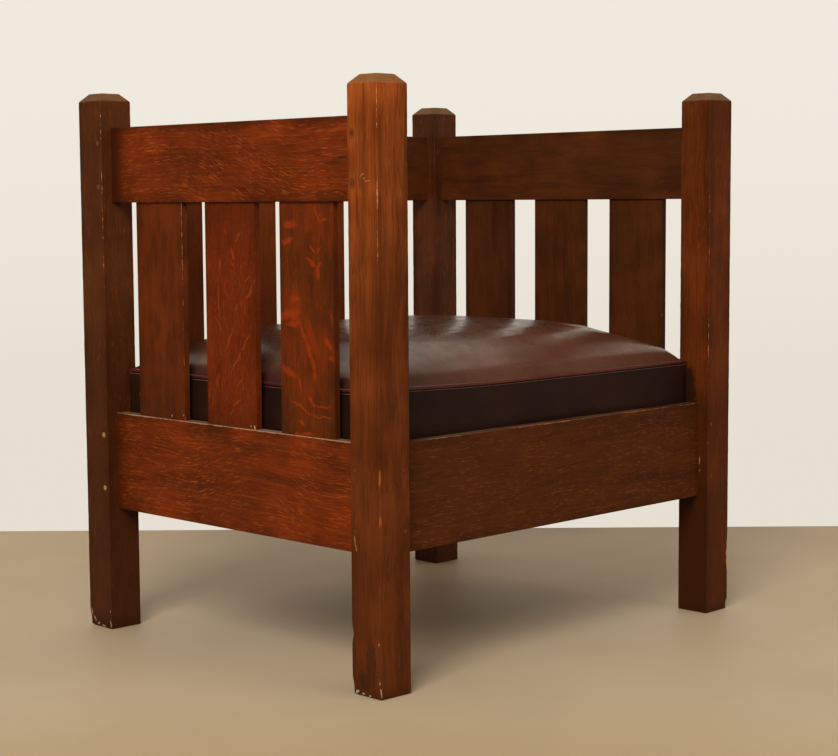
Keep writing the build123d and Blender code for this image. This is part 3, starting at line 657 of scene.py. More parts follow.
POST_LOOK = {
    **paints(ground=(90, 40, 9), red=(108, 48, 12), dark=(54, 25, 7)),
    "bands": 0.5,
    "flakes": (dashes(2, 0.4, long=18, wide=1.4, wave=2, strength=0.25),),
    "mottle": 0.12,
    "rim": CHAIR_HEIGHT - TOP_RISE,
    "rims": 0.3,
    "dusty": (0.5, 0.8),
    "dust": shade(120, 90, 56),
}
POST_LOOKS = {
    "post_front_left": {
        "wear": ((0.10, 0.36), (0.50, 0.34), (0.57, 0.52), (0.60, 0.62), (0.63, 0.58), (0.66, 0.46), (0.76, 0.55)),
        **paints(ground=(134, 62, 16), red=(164, 80, 28), dark=(60, 26, 6), flake=(180, 102, 40)),
        "streak": 0.5,
        "ends": ((0.72, 0.42, 0.55), (0.42, 0.12, 0.42), (0.02, 0.0, 0.5)),
        "scars": (
            (0, SOOT_AND_SHADOW, 0.5, ((42, -286, 45, 12, 3), (20, -275, 14, 18, 0)), -1),
            (0, CREAM, 0.7, ((5, -259, 2.5, 3.5, 20), (3, -270, 1.6, 3.0, -10), (3, -282, 1.2, 2.5, 8)), -1),
            (0, CREAM, 0.6, ((9, -302.5, 7, 1.4, 2), (22, -301, 3, 0.9, -8), (70, -300, 2, 1.0, 0)), -1),
            (0, ORANGE, 0.5, ((275, -302, 12, 1.6, 2), (222, -303, 8, 1.4, 0))),
            (1, ORANGE, 0.6, ((275, -358, 12, 1.8, 2), (222, -358, 8, 1.4, 0), (273, -308.5, 11, 1.5, 0))),
            (
                0, BARE, 0.5,
                (
                    (641, -277, 6, 0.9, -55), (633, -287, 5, 0.9, -80), (636, -281, 3, 0.8, 40),
                    (194, -259, 9, 1.2, 5), (185, -261, 6, 0.9, 14), (74, -253, 12, 1.2, 0),
                ),
            ),
        ),
    },
    "post_front_right": {
        "wear": ((0.10, 0.3), (0.30, 0.42), (0.45, 0.48), (0.68, 0.5), (0.74, 0.45)),
        # Painted shade: the second entry darkens the lower part of the faces across x, for the shade that the
        # chair's left side casts on the post's left face
        "ends": ((0.62, 0.12, 0.35), (0.40, 0.14, 0.8, 0), (0.02, 0.0, 0.5)),
        "scars": (
            # Painted shadow: dark patches on the post's left face, beside the cushion's front corner
            (0, SOOT_AND_SHADOW, 0.9, ((324, -270, 24, 17, 0), (346, -270, 26, 12, 6)), -1),
            (0, BARE, 0.65, ((227, -289, 7, 0.8, 0), (212, -290, 3, 0.7, 0))),
            (1, BARE, 0.8, ((88, 357.5, 10, 1.6, 5), (68, 358, 12, 2.2, -4), (104, 358.5, 6, 1.0, 0))),
        ),
    },
    "post_back_left": {
        "wear": ((0.10, 0.4), (0.35, 0.44), (0.55, 0.42), (0.66, 0.5), (0.76, 0.52)),
        **paints(ground=(76, 38, 14), red=(88, 45, 17)),
        "ends": ((0.5, 0.1, 0.4), (0.03, 0.0, 0.6)),
        "streak": 0.2,
        "dust": shade(122, 86, 56),
        "scars": (
            (
                0, BARE, 0.65,
                (
                    (20, 299, 7, 1.6, 14), (11, 293, 5, 2.0, 35), (5, 285, 2.0, 4, 12), (3, 273, 1.6, 5, -6),
                    (8, 255, 7, 1.3, 4), (26, 254, 3, 1.0, 0),
                ),
                -1,
            ),
        ),
    },
    "post_back_right": paints(ground=(74, 38, 17), red=(88, 44, 19)),
}


def give(piece, material):
    """Puts one material on every face of a piece."""
    piece.data.materials.clear()
    piece.data.materials.append(material)
    return piece


def quiet():
    """Leaves nothing selected, so that the next operator acts on its own piece only."""
    if bpy.context.object and bpy.context.object.mode != "OBJECT":
        bpy.ops.object.mode_set(mode="OBJECT")
    bpy.ops.object.select_all(action="DESELECT")


def pick(*pieces):
    """Selects these pieces alone and makes the first of them the active one."""
    quiet()
    for piece in pieces:
        piece.select_set(True)
    bpy.context.view_layer.objects.active = pieces[0]


def choose(piece, kind, test):
    """Enters edit mode with just the vertices, edges or faces selected that pass the test."""
    bpy.ops.object.mode_set(mode="OBJECT")
    mesh = piece.data
    for items in (mesh.vertices, mesh.edges, mesh.polygons):
        items.foreach_set("select", [False] * len(items))
    for item in getattr(mesh, kind):
        item.select = bool(test(item))
    modes = ("vertices", "edges", "polygons")
    bpy.context.tool_settings.mesh_select_mode = [kind == mode for mode in modes]
    bpy.ops.object.mode_set(mode="EDIT")


def cut_along(piece, axis, shortest, cuts):
    """Cuts the edges that run along an axis, and are longer than the shortest, into even steps."""

    def runs_along(edge):
        first, last = (piece.data.vertices[index].co for index in edge.vertices)
        return abs(first[axis] - last[axis]) > shortest

    choose(piece, "edges", runs_along)
    bpy.ops.mesh.subdivide(number_cuts=cuts)
    bpy.ops.object.mode_set(mode="OBJECT")


def settle(piece, name, angle=40):
    """Names a piece, puts its place into its mesh and shades it smooth up to an angle."""
    pick(piece)
    piece.name = piece.data.name = name
    bpy.ops.object.transform_apply(location=True, rotation=True, scale=True)
    bpy.ops.object.shade_smooth_by_angle(angle=math.radians(angle))
    return piece


def joined(pieces):
    """Makes one piece of several."""
    pick(*pieces)
    bpy.ops.object.join()
    return bpy.context.object


def put(name, data):
    """Puts a new object with this data in the scene."""
    thing = bpy.data.objects.new(name, data)
    bpy.context.scene.collection.objects.link(thing)
    return thing


def apply_modifier(piece, modifier):
    bpy.context.view_layer.objects.active = piece
    bpy.ops.object.modifier_apply(modifier=modifier.name)


def modify(piece, kind, **settings):
    """Adds a modifier with these settings and applies it at once."""
    apply_modifier(piece, fit(piece.modifiers.new(kind.lower(), kind), **settings))


def keep_within(piece, low, high):
    """Brings every vertex of a piece back between two corners."""
    for vertex in piece.data.vertices:
        vertex.co = [min(max(value, least), most) for value, least, most in zip(vertex.co, low, high)]


CHIPS = {
    "post_front_left": (
        ((-1, -1, 0.003), 0.009, (0.0014, 0.0014, 0.0010)),
        ((-1, 1, 0.003), 0.008, (0.0016, 0.0014, 0.0008)),
        ((-1, 1, 0.078), 0.005, (0.0010, 0.0010, 0)),
        ((-1, -1, 0.060), 0.005, (0.0008, 0.0008, 0)),
        ((-1, -1, 0.276), 0.012, (0.0009, 0.0009, 0)),
        ((1, -1, 0.274), 0.011, (0.0008, 0.0008, 0)),
        ((1, -1, 0.668), 0.010, (0.0008, 0.0008, 0)),
    ),
    "post_back_left": (
        ((-1, 1, 0.006), 0.009, (0.0014, 0.0016, 0.0012)),
        ((-1, -1, 0.003), 0.007, (0.0012, 0.0012, 0.0008)),
    ),
    "post_front_right": (
        ((1, -1, 0.080), 0.006, (0.0006, 0.0010, 0)),
        ((1, -1, 0.100), 0.004, (0.0005, 0.0008, 0)),
        ((1, -1, 0.004), 0.008, (0.0014, 0.0014, 0.0008)),
    ),
    "post_back_right": (((1, 1, 0.004), 0.009, (0.0014, 0.0014, 0.0008)),),
}


def post_blank(node, centre, high, size):
    """A square post with a chamfered top and eased edges, cut fine along its height."""
    shaft = high.z - TOP_RISE
    quiet()
    bpy.ops.mesh.primitive_cube_add(size=1, location=(centre.x, centre.y, shaft / 2), scale=(size, size, shaft))
    post = settle(bpy.context.object, node + "_worn")
    choose(post, "polygons", lambda face: face.normal.z > 0.9)
    bpy.ops.mesh.extrude_region_move(TRANSFORM_OT_translate={"value": (0, 0, TOP_RISE)})
    flat = (size - 2 * TOP_RUN) / size
    bpy.ops.transform.resize(value=(flat, flat, 1), center_override=(centre.x, centre.y, high.z))
    choose(post, "edges", lambda edge: True)
    bpy.ops.mesh.bevel(offset=ARRIS, segments=3, affect="EDGES", profile=0.5)
    bpy.ops.object.mode_set(mode="OBJECT")
    cut_along(post, 2, 0.5, SHAFT_CUTS)
    return post


def rub_corners(post, centre, half, shaft):
    """Wears the upright corners, and the rim of the top a little less, with two sizes of noise."""
    corners = post.vertex_groups.new(name="corners")
    for vertex in post.data.vertices:
        near = max(half - abs(vertex.co.x - centre.x), half - abs(vertex.co.y - centre.y))
        if vertex.co.z >= shaft:
            near = min(near, WORN_REACH / 2)
        corners.add([vertex.index], max(0.0, 1 - near / WORN_REACH), "REPLACE")
    for scale, depth in NICKS:
        texture = fit(bpy.data.textures.new("nicks", "CLOUDS"), noise_scale=scale, contrast=1.6)
        wear = {"texture": texture, "texture_coords": "LOCAL", "vertex_group": "corners"}
        modify(post, "DISPLACE", mid_level=0.5, strength=depth, **wear)
    post.vertex_groups.clear()


def near_chip(place, reach):
    """A test for the vertices in a ragged egg round a place, upright and nearly twice as tall as wide."""

    def test(vertex):
        gap = vertex.co - place
        gap.z *= 0.55
        return gap.length < reach * (0.8 + 0.5 * noise.noise(vertex.co * 300))

    return test


def model_post(node):
    """One square post with a chamfered top, its edges rubbed and nicked, its foot chipped."""
    low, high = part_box(node)
    centre = (low + high) / 2
    size = POST_SIZE - 2 * SHRINK
    half = size / 2
    post = post_blank(node, centre, high, size)
    rub_corners(post, centre, half, high.z - TOP_RISE)
    for (side_x, side_y, height), radius, (in_x, in_y, rise) in CHIPS[node]:
        place = Vector((centre.x + side_x * half, centre.y + side_y * half, height))
        for step in CHIP_STEPS:
            choose(post, "vertices", near_chip(place, radius * step))
            bpy.ops.transform.translate(value=(-side_x * in_x / 2, -side_y * in_y / 2, rise / 2))
    bpy.ops.object.mode_set(mode="OBJECT")
    keep_within(post, (low.x + SHRINK, low.y + SHRINK, 0.0), (high.x - SHRINK, high.y - SHRINK, high.z))
    return settle(post, node + "_worn", 35)


def studio_camera():
    """A camera where the photograph was taken from."""
    right = Vector((math.cos(YAW), -math.sin(YAW), 0))
    ahead = Vector((math.sin(YAW) * math.cos(PITCH), math.cos(YAW) * math.cos(PITCH), math.sin(PITCH)))
    up = right.cross(ahead)
    across = math.cos(ROLL) * right + math.sin(ROLL) * up
    upward = -math.sin(ROLL) * right + math.cos(ROLL) * up
    data = bpy.data.cameras.new("camera")
    data.sensor_width = SENSOR_WIDTH
    data.lens = FOCAL_PIXELS * SENSOR_WIDTH / IMAGE_WIDTH
    camera = put("camera", data)
    turn = Matrix((across, upward, -ahead)).transposed().to_4x4()
    camera.matrix_world = Matrix.Translation(CAMERA_PLACE) @ turn
    bpy.context.scene.camera = camera


def boards(*kinds):
    """The number, name and piece of each packed board of these kinds. The number gives it its own grain."""
    for number, (node, piece) in enumerate(sorted(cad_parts.items())):
        if node.startswith(kinds):
            yield number, node, piece


def level_axes(node):
    """The level axis that a board is longest on, and the other one."""
    low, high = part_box(node)
    return "yx" if high.y - low.y > high.x - low.x else "xy"


class CUBECHAIR_OT_camera(bpy.types.Operator):
    """Put the camera at the photograph's viewpoint"""

    bl_idname = "cube_chair.camera"
    bl_label = "Camera"

    def execute(self, context):
        studio_camera()
        return {"FINISHED"}


class CUBECHAIR_OT_posts(bpy.types.Operator):
    """Model the four posts with their rubbed edges and chipped feet"""

    bl_idname = "cube_chair.posts"
    bl_label = "Oak posts"

    def execute(self, context):
        for number, node in enumerate(POSTS):
            post = model_post(node)
            look = {**POST_LOOK, **POST_LOOKS[node], "seed": POST_SEED + number}
            give(post, oak(node, "z", "x", look, context.scene.cube_chair_oak))
            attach(post, "chair_frame")
            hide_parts(node)
        return {"FINISHED"}


class CUBECHAIR_OT_rails(bpy.types.Operator):
    """Finish the seat rails and top rails in flaked oak"""

    bl_idname = "cube_chair.rails"
    bl_label = "Oak rails"

    def execute(self, context):
        for _, node, piece in boards("seat_rail", "top_rail"):
            give(piece, oak(node, *level_axes(node), LOOKS[node], context.scene.cube_chair_oak))
        return {"FINISHED"}


class CUBECHAIR_OT_slats(bpy.types.Operator):
    """Finish the side and back slats in flaked oak"""

    bl_idname = "cube_chair.slats"
    bl_label = "Oak slats"

    def execute(self, context):
        for number, node, piece in boards("slat_"):
            base = BACK_SLAT_PAINTED_LIGHTER if "back" in node else INNER
            plain = {**base, "seed": SLAT_SEED + number, "flakes": (dashes(3, 0.3, strength=0.35),)}
            look = LOOKS.get(node, plain)
            give(piece, oak(node, "z", level_axes(node)[1], look, context.scene.cube_chair_oak))
        return {"FINISHED"}


class CUBECHAIR_OT_pegs(bpy.types.Operator):
    """Finish the pegs as end grain, rubbed pale on the back left post"""

    bl_idname = "cube_chair.pegs"
    bl_label = "Pegs"

    def execute(self, context):
        tree = Tree("oak_pegs")
        place = tree.place()
        rings = tree.noise(place, 420, 3, 0.6)
        parts = tree.split(place)
        paint = tree.mix(tree.remap(rings, 0.35, 0.65), shade(82, 36, 10), shade(116, 54, 18))
        left, back = tree.calc("LESS_THAN", parts[0], -0.3), tree.calc("GREATER_THAN", parts[1], 0.2)
        pale = tree.mix(tree.remap(parts[2], 0.5, 0.4), shade(112, 62, 40), shade(178, 138, 96))
        rubbed = tree.times(tree.times(left, back), tree.remap(rings, 0.3, 0.6, 0.5, 0.95))
        dull = tree.remap(rings, 0.3, 0.7, 0.5, 0.62)
        normal = tree.bump(rings, 0.3, 0.0003)
        material = tree.finish(tree.mix(rubbed, paint, pale), dull, normal, Specular_IOR_Level=0.1)
        for node in PEG_AXES:
            give(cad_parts[node], material)
        return {"FINISHED"}


class CUBECHAIR_OT_inner_timber(bpy.types.Operator):
    """Finish the cleats and the seat frame in plain unstained wood"""

    bl_idname = "cube_chair.inner_timber"
    bl_label = "Cleats and seat frame"

    def execute(self, context):
        for number, node, piece in boards("cleat_", "seat_frame_"):
            if node != "cleat_screws":
                look = {**INNER_TIMBER, "seed": INNER_SEED + number}
                give(piece, oak(node, level_axes(node)[0], "z", look, context.scene.cube_chair_oak))
        return {"FINISHED"}


def metal(name, light, dark, rough):
    """Steel with a little tarnish."""
    tree = Tree(name)
    place = tree.place()
    cloud = tree.noise(place, 260, 3, 0.6)
    paint = tree.mix(tree.remap(cloud, 0.35, 0.7), light, dark)
    normal = tree.bump(tree.noise(place, 1400, 2), 0.15, 0.0001)
    return tree.finish(paint, tree.remap(cloud, 0.3, 0.7, rough, rough + 0.2), normal, Metallic=1.0)


class CUBECHAIR_OT_fixings(bpy.types.Operator):
    """Finish the cleat screws and the webbing tacks in steel"""

    bl_idname = "cube_chair.fixings"
    bl_label = "Screws and tacks"

    def execute(self, context):
        steel = metal("steel", shade(176, 172, 164), shade(120, 104, 84), 0.34)
        blued = metal("blued_steel", shade(66, 70, 80), shade(38, 36, 38), 0.38)
        give(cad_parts["cleat_screws"], steel)
        give(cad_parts["webbing_tacks"], blued)
        return {"FINISHED"}


class CUBECHAIR_OT_webbing(bpy.types.Operator):
    """Finish the seat webbing as woven jute"""

    bl_idname = "cube_chair.webbing"
    bl_label = "Seat webbing"

    def execute(self, context):
        for node, along in (("webbing_lengthwise", 1), ("webbing_crosswise", 0)):
            tree = Tree(node)
            place = tree.place()
            parts = tree.split(place)
            warp = tree.calc("SINE", tree.times(parts[1 - along], 2 * math.pi / WARP))
            weft = tree.calc("SINE", tree.times(parts[along], 2 * math.pi / WEFT))
            weave = tree.times(warp, weft)
            fibre = tree.noise(place, 900, 2, 0.6)
            paint = tree.mix(tree.remap(weave, -0.8, 0.8), shade(128, 96, 58), shade(182, 150, 102))
            paint = tree.mix(tree.remap(fibre, 0.35, 0.7, 0, 0.45), paint, shade(100, 74, 44))
            normal = tree.bump(tree.plus(weave, fibre), 0.5, 0.0005)
            rough = tree.remap(fibre, 0.3, 0.7, 0.8, 0.95)
            give(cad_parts[node], tree.finish(paint, rough, normal, Specular_IOR_Level=0.2))
        return {"FINISHED"}


# The crown of the cushion, row by row: its rise over the seam, the reach of its outline there, and the radius of
# the outline's corners
CROWN_SHARES = (
    (0.0, 1.0, 0.07),
    (0.10, 0.988, 0.075),
    (0.30, 0.946, 0.15),
    (0.55, 0.861, 0.29),
    (0.76, 0.744, 0.43),
    (0.90, 0.602, 0.52),
    (0.97, 0.447, 0.54),
    (1.00, 0.260, 0.54),
)
CROWN_POWER = 0.86
CUSHION_HALF = Vector((CUSHION_HIGH.x, CUSHION_HIGH.y, 0))
BOXING = 0.0885
SEAM_Z = CUSHION_LOW.z + BOXING
FILL_RISE = 0.0035
CROWN = CUSHION_HIGH.z - SEAM_Z - FILL_RISE

# The boxing: how it is drawn in and swells between the seams, and its corners beside the posts
SKIN_GAP = 0.0022
GRID_CUTS = (90, 76, 12)
GRID_CROWDING = 0.1
DRAW_IN = 0.003
BULGE = 0.0014
PINCH = 0.0024
CORNER = 0.009
CORNER_FALL = 0.030
POST_CLEAR = 0.0012
CUTTER_SIDE, CUTTER_RISE, CUTTER_CUTS = 0.03, 0.04, 11

# The simulated filling, and how far it may move the leather close to a seam
FILL_FRAMES = 20
SEAM_HOLD, SEAM_REACH = 0.15, 0.022

# The welts lie this far out of the loops that they follow, and clear of the posts
WELT_OUT, BASE_WELT_OUT, WELT_CLEAR = 0.0030, -0.0004, 0.0008

# The stitches: their spacing, half length and loop, and each row's height, steepest face and half thickness
STITCH, STITCH_HALF = 0.0034, 0.0014
STITCH_OUT, STITCH_INTO_NOTCH = 0.006, 0.0045
STITCH_ROWS = {
    "cushion_stitches_top": (0.0034, 0.95, 0.0009),
    "cushion_stitches_side": (-0.0031, 0.6, 0.00055),
}


def between(value, first, last, start, end):
    """Carries a value's place between first and last over to between start and end."""
    return start + (end - start) * ((first - value) / (first - last))


def past_outline(x, y, level):
    """How far a point lies outside the cushion's outline at one level of its crown."""
    corner = CROWN_SHARES[-1][2]
    for (_, first, first_corner), (_, last, last_corner) in zip(CROWN_SHARES, CROWN_SHARES[1:]):
        if last <= level <= first:
            corner = between(level, first, last, first_corner, last_corner)
    half_x, half_y = CUSHION_HALF.x * level, CUSHION_HALF.y * level
    radius = half_y * corner
    out_x, out_y = abs(x) - half_x + radius, abs(y) - half_y + radius
    return math.hypot(max(out_x, 0), max(out_y, 0)) + min(max(out_x, out_y), 0) - radius


def crown_height(x, y):
    """The height of the crown over the seam at one place, as a share of its full height."""
    low, level = 0.0, 1.0
    for _ in range(18):
        middle = (low + level) / 2
        if past_outline(x, y, middle) > 0:
            low = middle
        else:
            level = middle
    for (first_rise, first, _), (last_rise, last, _) in zip(CROWN_SHARES, CROWN_SHARES[1:]):
        if last < level <= first:
            return between(level, first, last, first_rise, last_rise)
    return 1.0


def seam_lift(x, y):
    """The seam climbs a little towards the corner nearest the front left post."""
    front = max(0.0, -y / CUSHION_HALF.y)
    left = max(0.0, (-x - 0.06) / (CUSHION_HALF.x - 0.06))
    return 0.0075 * left**2 * front**8


def corner_fall(co):
    """How much of the crown is left close to the square that a post takes out of the cushion."""
    gap_x = max(POST_INNER_X - POST_CLEAR - abs(co.x), 0)
    gap_y = max(POST_INNER_Y - POST_CLEAR - abs(co.y), 0)
    return 1 - (1 - min(1, math.hypot(gap_x, gap_y) / CORNER_FALL)) ** 2


def notched(co, gap):
    """Carries a point of a loop round the cushion along the two sides of a post."""
    limit_x, limit_y = POST_INNER_X - gap, POST_INNER_Y - gap
    over_x, over_y = abs(co.x) - limit_x, abs(co.y) - limit_y
    if over_x > 0 and over_y > 0:
        co.x = math.copysign(limit_x + max(over_x - over_y, 0), co.x)
        co.y = math.copysign(limit_y + max(over_y - over_x, 0), co.y)
    return co


def on_seam(co):
    """The point of the top seam that lies over or under a place."""
    return Vector((co.x, co.y, SEAM_Z + seam_lift(co.x, co.y)))


def cut_corners(cushion):
    """Cuts out the squares that the four posts take from the corners of the cushion."""
    reach = Vector((CUTTER_SIDE, CUTTER_SIDE, SEAM_Z - CUSHION_LOW.z + CUTTER_RISE))
    corners = []
    for side_x, side_y in ((-1, -1), (-1, 1), (1, -1), (1, 1)):
        quiet()
        middle = (
            side_x * (POST_INNER_X - POST_CLEAR + reach.x / 2),
            side_y * (POST_INNER_Y - POST_CLEAR + reach.y / 2),
            (CUSHION_LOW.z + SEAM_Z) / 2,
        )
        bpy.ops.mesh.primitive_cube_add(size=1, location=middle, scale=reach)
        corner = settle(bpy.context.object, "cutter")
        choose(corner, "edges", lambda edge: True)
        bpy.ops.mesh.subdivide(number_cuts=CUTTER_CUTS)
        corners.append(corner)
    cutter = joined(corners)
    pick(cushion)
    modify(cushion, "BOOLEAN", operation="DIFFERENCE", solver="EXACT", object=cutter)
    bpy.data.objects.remove(cutter)


def rounded(co):
    """Rounds the upright corners that the sides of the cushion make beside the posts."""
    for limit_x, limit_y in ((POST_INNER_X, CUSHION_HALF.y), (CUSHION_HALF.x, POST_INNER_Y)):
        centre_x, centre_y = limit_x - CORNER, limit_y - CORNER
        out_x, out_y = abs(co.x) - centre_x, abs(co.y) - centre_y
        inside = abs(co.x) < limit_x + MM and abs(co.y) < limit_y + MM
        gap = math.hypot(out_x, out_y)
        if inside and out_x > 0 and out_y > 0 and gap > CORNER:
            co.x = math.copysign(centre_x + out_x * CORNER / gap, co.x)
            co.y = math.copysign(centre_y + out_y * CORNER / gap, co.y)
    return co


def model_cushion():
    """The boxed cushion before its filling swells it, as an even grid all round."""
    quiet()
    low = Vector((-CUSHION_HALF.x + SKIN_GAP, -CUSHION_HALF.y + SKIN_GAP, CUSHION_LOW.z))
    size = (-2 * low.x, -2 * low.y, SEAM_Z - CUSHION_LOW.z)
    bpy.ops.mesh.primitive_cube_add(size=1, location=(0, 0, (SEAM_Z + CUSHION_LOW.z) / 2), scale=size)
    cushion = settle(bpy.context.object, "cushion")
    for axis, cuts in enumerate(GRID_CUTS):
        cut_along(cushion, axis, size[axis] * 0.9, cuts)
    held = cushion.vertex_groups.new(name="held")
    half = (size[0] / 2, size[1] / 2)
    for vertex in cushion.data.vertices:
        co = vertex.co
        shares = (co.x / half[0], co.y / half[1])
        on_top = co.z > SEAM_Z - TOUCH
        on_rim = max(abs(part) for part in shares) > 0.9999
        rise = 1 - min(1, max(0, (SEAM_Z - co.z) / size[2])) ** 1.5
        co.z = CUSHION_LOW.z + size[2] * rise
        for axis, part in enumerate(shares):
            co[axis] = half[axis] * (part + GRID_CROWDING * math.sin(math.pi * part))
        bulge = 4 * rise * (1 - rise) * BULGE
        for axis, other in ((1, 0), (0, 1)):
            side = abs(shares[axis]) ** 6
            pull = DRAW_IN * (1 - min(1, abs(co[other]) / half[other]) ** 2) * side
            co[axis] -= math.copysign(max(pull - bulge * side, 0), co[axis])
        if on_top and on_rim:
            for axis, part in enumerate(shares):
                co[axis] -= math.copysign(PINCH * abs(part) ** 8, co[axis])
        if on_top:
            co.z = SEAM_Z + seam_lift(co.x, co.y)
            if not on_rim:
                co.z += CROWN * crown_height(co.x, co.y) ** CROWN_POWER * corner_fall(co)
        elif on_rim:
            co.z += seam_lift(co.x, co.y) * rise
        tied = (on_top and on_rim) or co.z < CUSHION_LOW.z + TOUCH
        held.add([vertex.index], float(tied), "REPLACE")
    return cushion


def simulate(cushion, swell):
    """Fills the cushion: the leather swells between its seams under a light pressure."""
    before = [vertex.co.copy() for vertex in cushion.data.vertices]
    cloth = cushion.modifiers.new("filling", "CLOTH")
    fit(cloth.settings, quality=6, mass=0.4, vertex_group_mass="held", use_pressure=True, uniform_pressure_force=4)
    fit(cloth.settings, tension_stiffness=18, compression_stiffness=18, shear_stiffness=8, bending_stiffness=3)
    cloth.settings.effector_weights.gravity = 0
    cloth.collision_settings.use_collision = False
    fit(cloth.point_cache, frame_start=1, frame_end=FILL_FRAMES)
    for number in range(1, FILL_FRAMES + 1):
        bpy.context.scene.frame_set(number)
    apply_modifier(cushion, cloth)
    bpy.context.scene.frame_set(1)
    for vertex, start in zip(cushion.data.vertices, before):
        move = vertex.co - start
        room = swell * min(1, SEAM_HOLD + abs(start.z - SEAM_Z) / SEAM_REACH)
        if move.length > room:
            vertex.co = start + move.normalized() * room


def seam_loop(cushion, test):
    """The points of a level loop round the cushion, in order."""
    points = [vertex.co.copy() for vertex in cushion.data.vertices if test(vertex)]
    return sorted(points, key=lambda co: math.atan2(co.y, co.x))


def seam_loops(cushion):
    """The loops of points where the top of the cushion and its base meet the sides."""
    held = cushion.vertex_groups["held"].index
    vertices = cushion.data.vertices
    on_base = set()
    for edge in cushion.data.edges:
        low, high = sorted(edge.vertices, key=lambda index: vertices[index].co.z)
        if vertices[low].co.z - CUSHION_LOW.z < MM / 2 and vertices[high].co.z - CUSHION_LOW.z > 2 * MM:
            on_base.add(low)

    def on_top_seam(vertex):
        tied = any(group.group == held and group.weight > 0.5 for group in vertex.groups)
        return tied and vertex.co.z > SEAM_Z - 0.01

    def on_base_seam(vertex):
        return vertex.index in on_base and vertex.co.z < CUSHION_LOW.z + MM / 2

    return seam_loop(cushion, on_top_seam), seam_loop(cushion, on_base_seam)


def widened(points, step):
    """A loop round the cushion, carried outwards by a step."""
    wider = []
    for number, point in enumerate(points):
        run = points[(number + 1) % len(points)] - points[number - 1]
        wider.append(point + Vector((run.y, -run.x, 0)).normalized() * step)
    return wider


def loop_tube(name, points, radius):
    """A closed round cord along a loop of points."""
    data = fit(bpy.data.curves.new(name, "CURVE"), dimensions="3D")
    spline = data.splines.new("NURBS")
    spline.points.add(len(points) - 1)
    for target, point in zip(spline.points, points):
        target.co = (*point, 1)
    fit(spline, use_cyclic_u=True, order_u=4, resolution_u=2)
    fit(data, bevel_depth=radius, bevel_resolution=4, use_fill_caps=False)
    pick(put(name, data))
    bpy.ops.object.convert(target="MESH")
    return settle(bpy.context.object, name, 60)


def stitch_row(name, cushion, loop, rise, steepest, thick):
    """A row of small stitches on the leather, a little above or under the welt."""
    turns = []
    carried = 0.0
    for number, point in enumerate(loop):
        run = loop[(number + 1) % len(loop)] - point
        while carried < run.length:
            place = point + run * (carried / run.length) + Vector((0, 0, rise))
            _, surface, normal, _ = cushion.closest_point_on_mesh(place)
            carried += STITCH
            if abs(normal.z) < steepest:
                ahead = (run - run.dot(normal) * normal).normalized()
                turn = Matrix((ahead, normal.cross(ahead), normal)).transposed().to_4x4()
                turns.append(Matrix.Translation(surface + normal * TOUCH / 2) @ turn)
        carried -= run.length
    quiet()
    bpy.ops.mesh.primitive_uv_sphere_add(segments=6, ring_count=4, radius=1, location=(0, 0, 0))
    bpy.context.object.scale = (STITCH_HALF, thick, thick)
    pattern = settle(bpy.context.object, "stitch", 60)
    made = []
    for turn in turns:
        stitch = put("stitch", pattern.data.copy())
        stitch.data.transform(turn)
        made.append(stitch)
    bpy.data.objects.remove(pattern)
    return settle(joined(made), name, 60)


def leather(name, base, deep, finish, gloss_shift=0.0, shine=0.75, shaded_rim=False):
    """Old waxed leather with a fine pebble; with the rim flag set it also paints shade low on the crown round the
    sides and back of the top.
    """
    tree = Tree(name)
    place = tree.place()
    cloud = tree.noise(place, 6, 3, 0.55)
    blotch = tree.noise(place, 28, 3, 0.6)
    cells = {"Vector": place, "Scale": 620.0}
    cracks = tree.node("TexVoronoi", cells, out="Distance", feature="DISTANCE_TO_EDGE")
    pebble = tree.remap(cracks, 0.02, 0.25)
    paint = tree.mix(tree.remap(cloud, 0.35, 0.65), base, deep)
    paint = tree.mix(tree.remap(blotch, 0.4, 0.7, 0, 0.25), paint, deep)
    # Painted shade: the crown low round the sides and back is darkened, for the shade that the slats cast there
    if shaded_rim:
        parts = tree.split(tree.vector("DIVIDE", place, (CUSHION_HALF.x, CUSHION_HALF.y, 1)))
        rim = tree.larger(tree.calc("ABSOLUTE", parts[0]), parts[1])
        paint = tree.mix(tree.remap(rim, 0.93, 0.985, 0, 0.7), paint, shade(56, 24, 30))
    paint = tree.mix(tree.remap(pebble, 0.6, 0.0, 0, 0.08), paint, shade(30, 14, 12))
    soft = tree.noise(tree.scaled(place, (1, 1.6, 1)), 24, 0, 0.5)
    normal = tree.bump(tree.plus(tree.times(pebble, 0.05), soft), 0.14, 0.0006)
    gloss = finish.gloss + gloss_shift
    rough = tree.remap(blotch, 0.3, 0.7, gloss - 0.05, gloss + 0.06)
    return tree.finish(paint, rough, normal, Specular_IOR_Level=shine, Specular_Tint=(1, 0.8, 0.62, 1))


def cover(cushion, finish):
    """Gives the cushion its top, painted with shade low round its sides and back, and its sides and base in a darker
    leather that is partly less faded and partly painted shade.
    """
    give(cushion, leather("cushion_leather_top", tuple(finish.leather), shade(82, 46, 31), finish, shaded_rim=True))
    # A darker copy of the leather for the sides and base: partly less faded, partly painted shade
    side = leather("cushion_leather_sides", tuple(finish.shadow), shade(34, 18, 13), finish, 0.1, 0.2)
    cushion.data.materials.append(side)
    for face in cushion.data.polygons:
        x, y, z = face.center
        if z < SEAM_Z + seam_lift(x, y) - TOUCH:
            face.material_index = 1


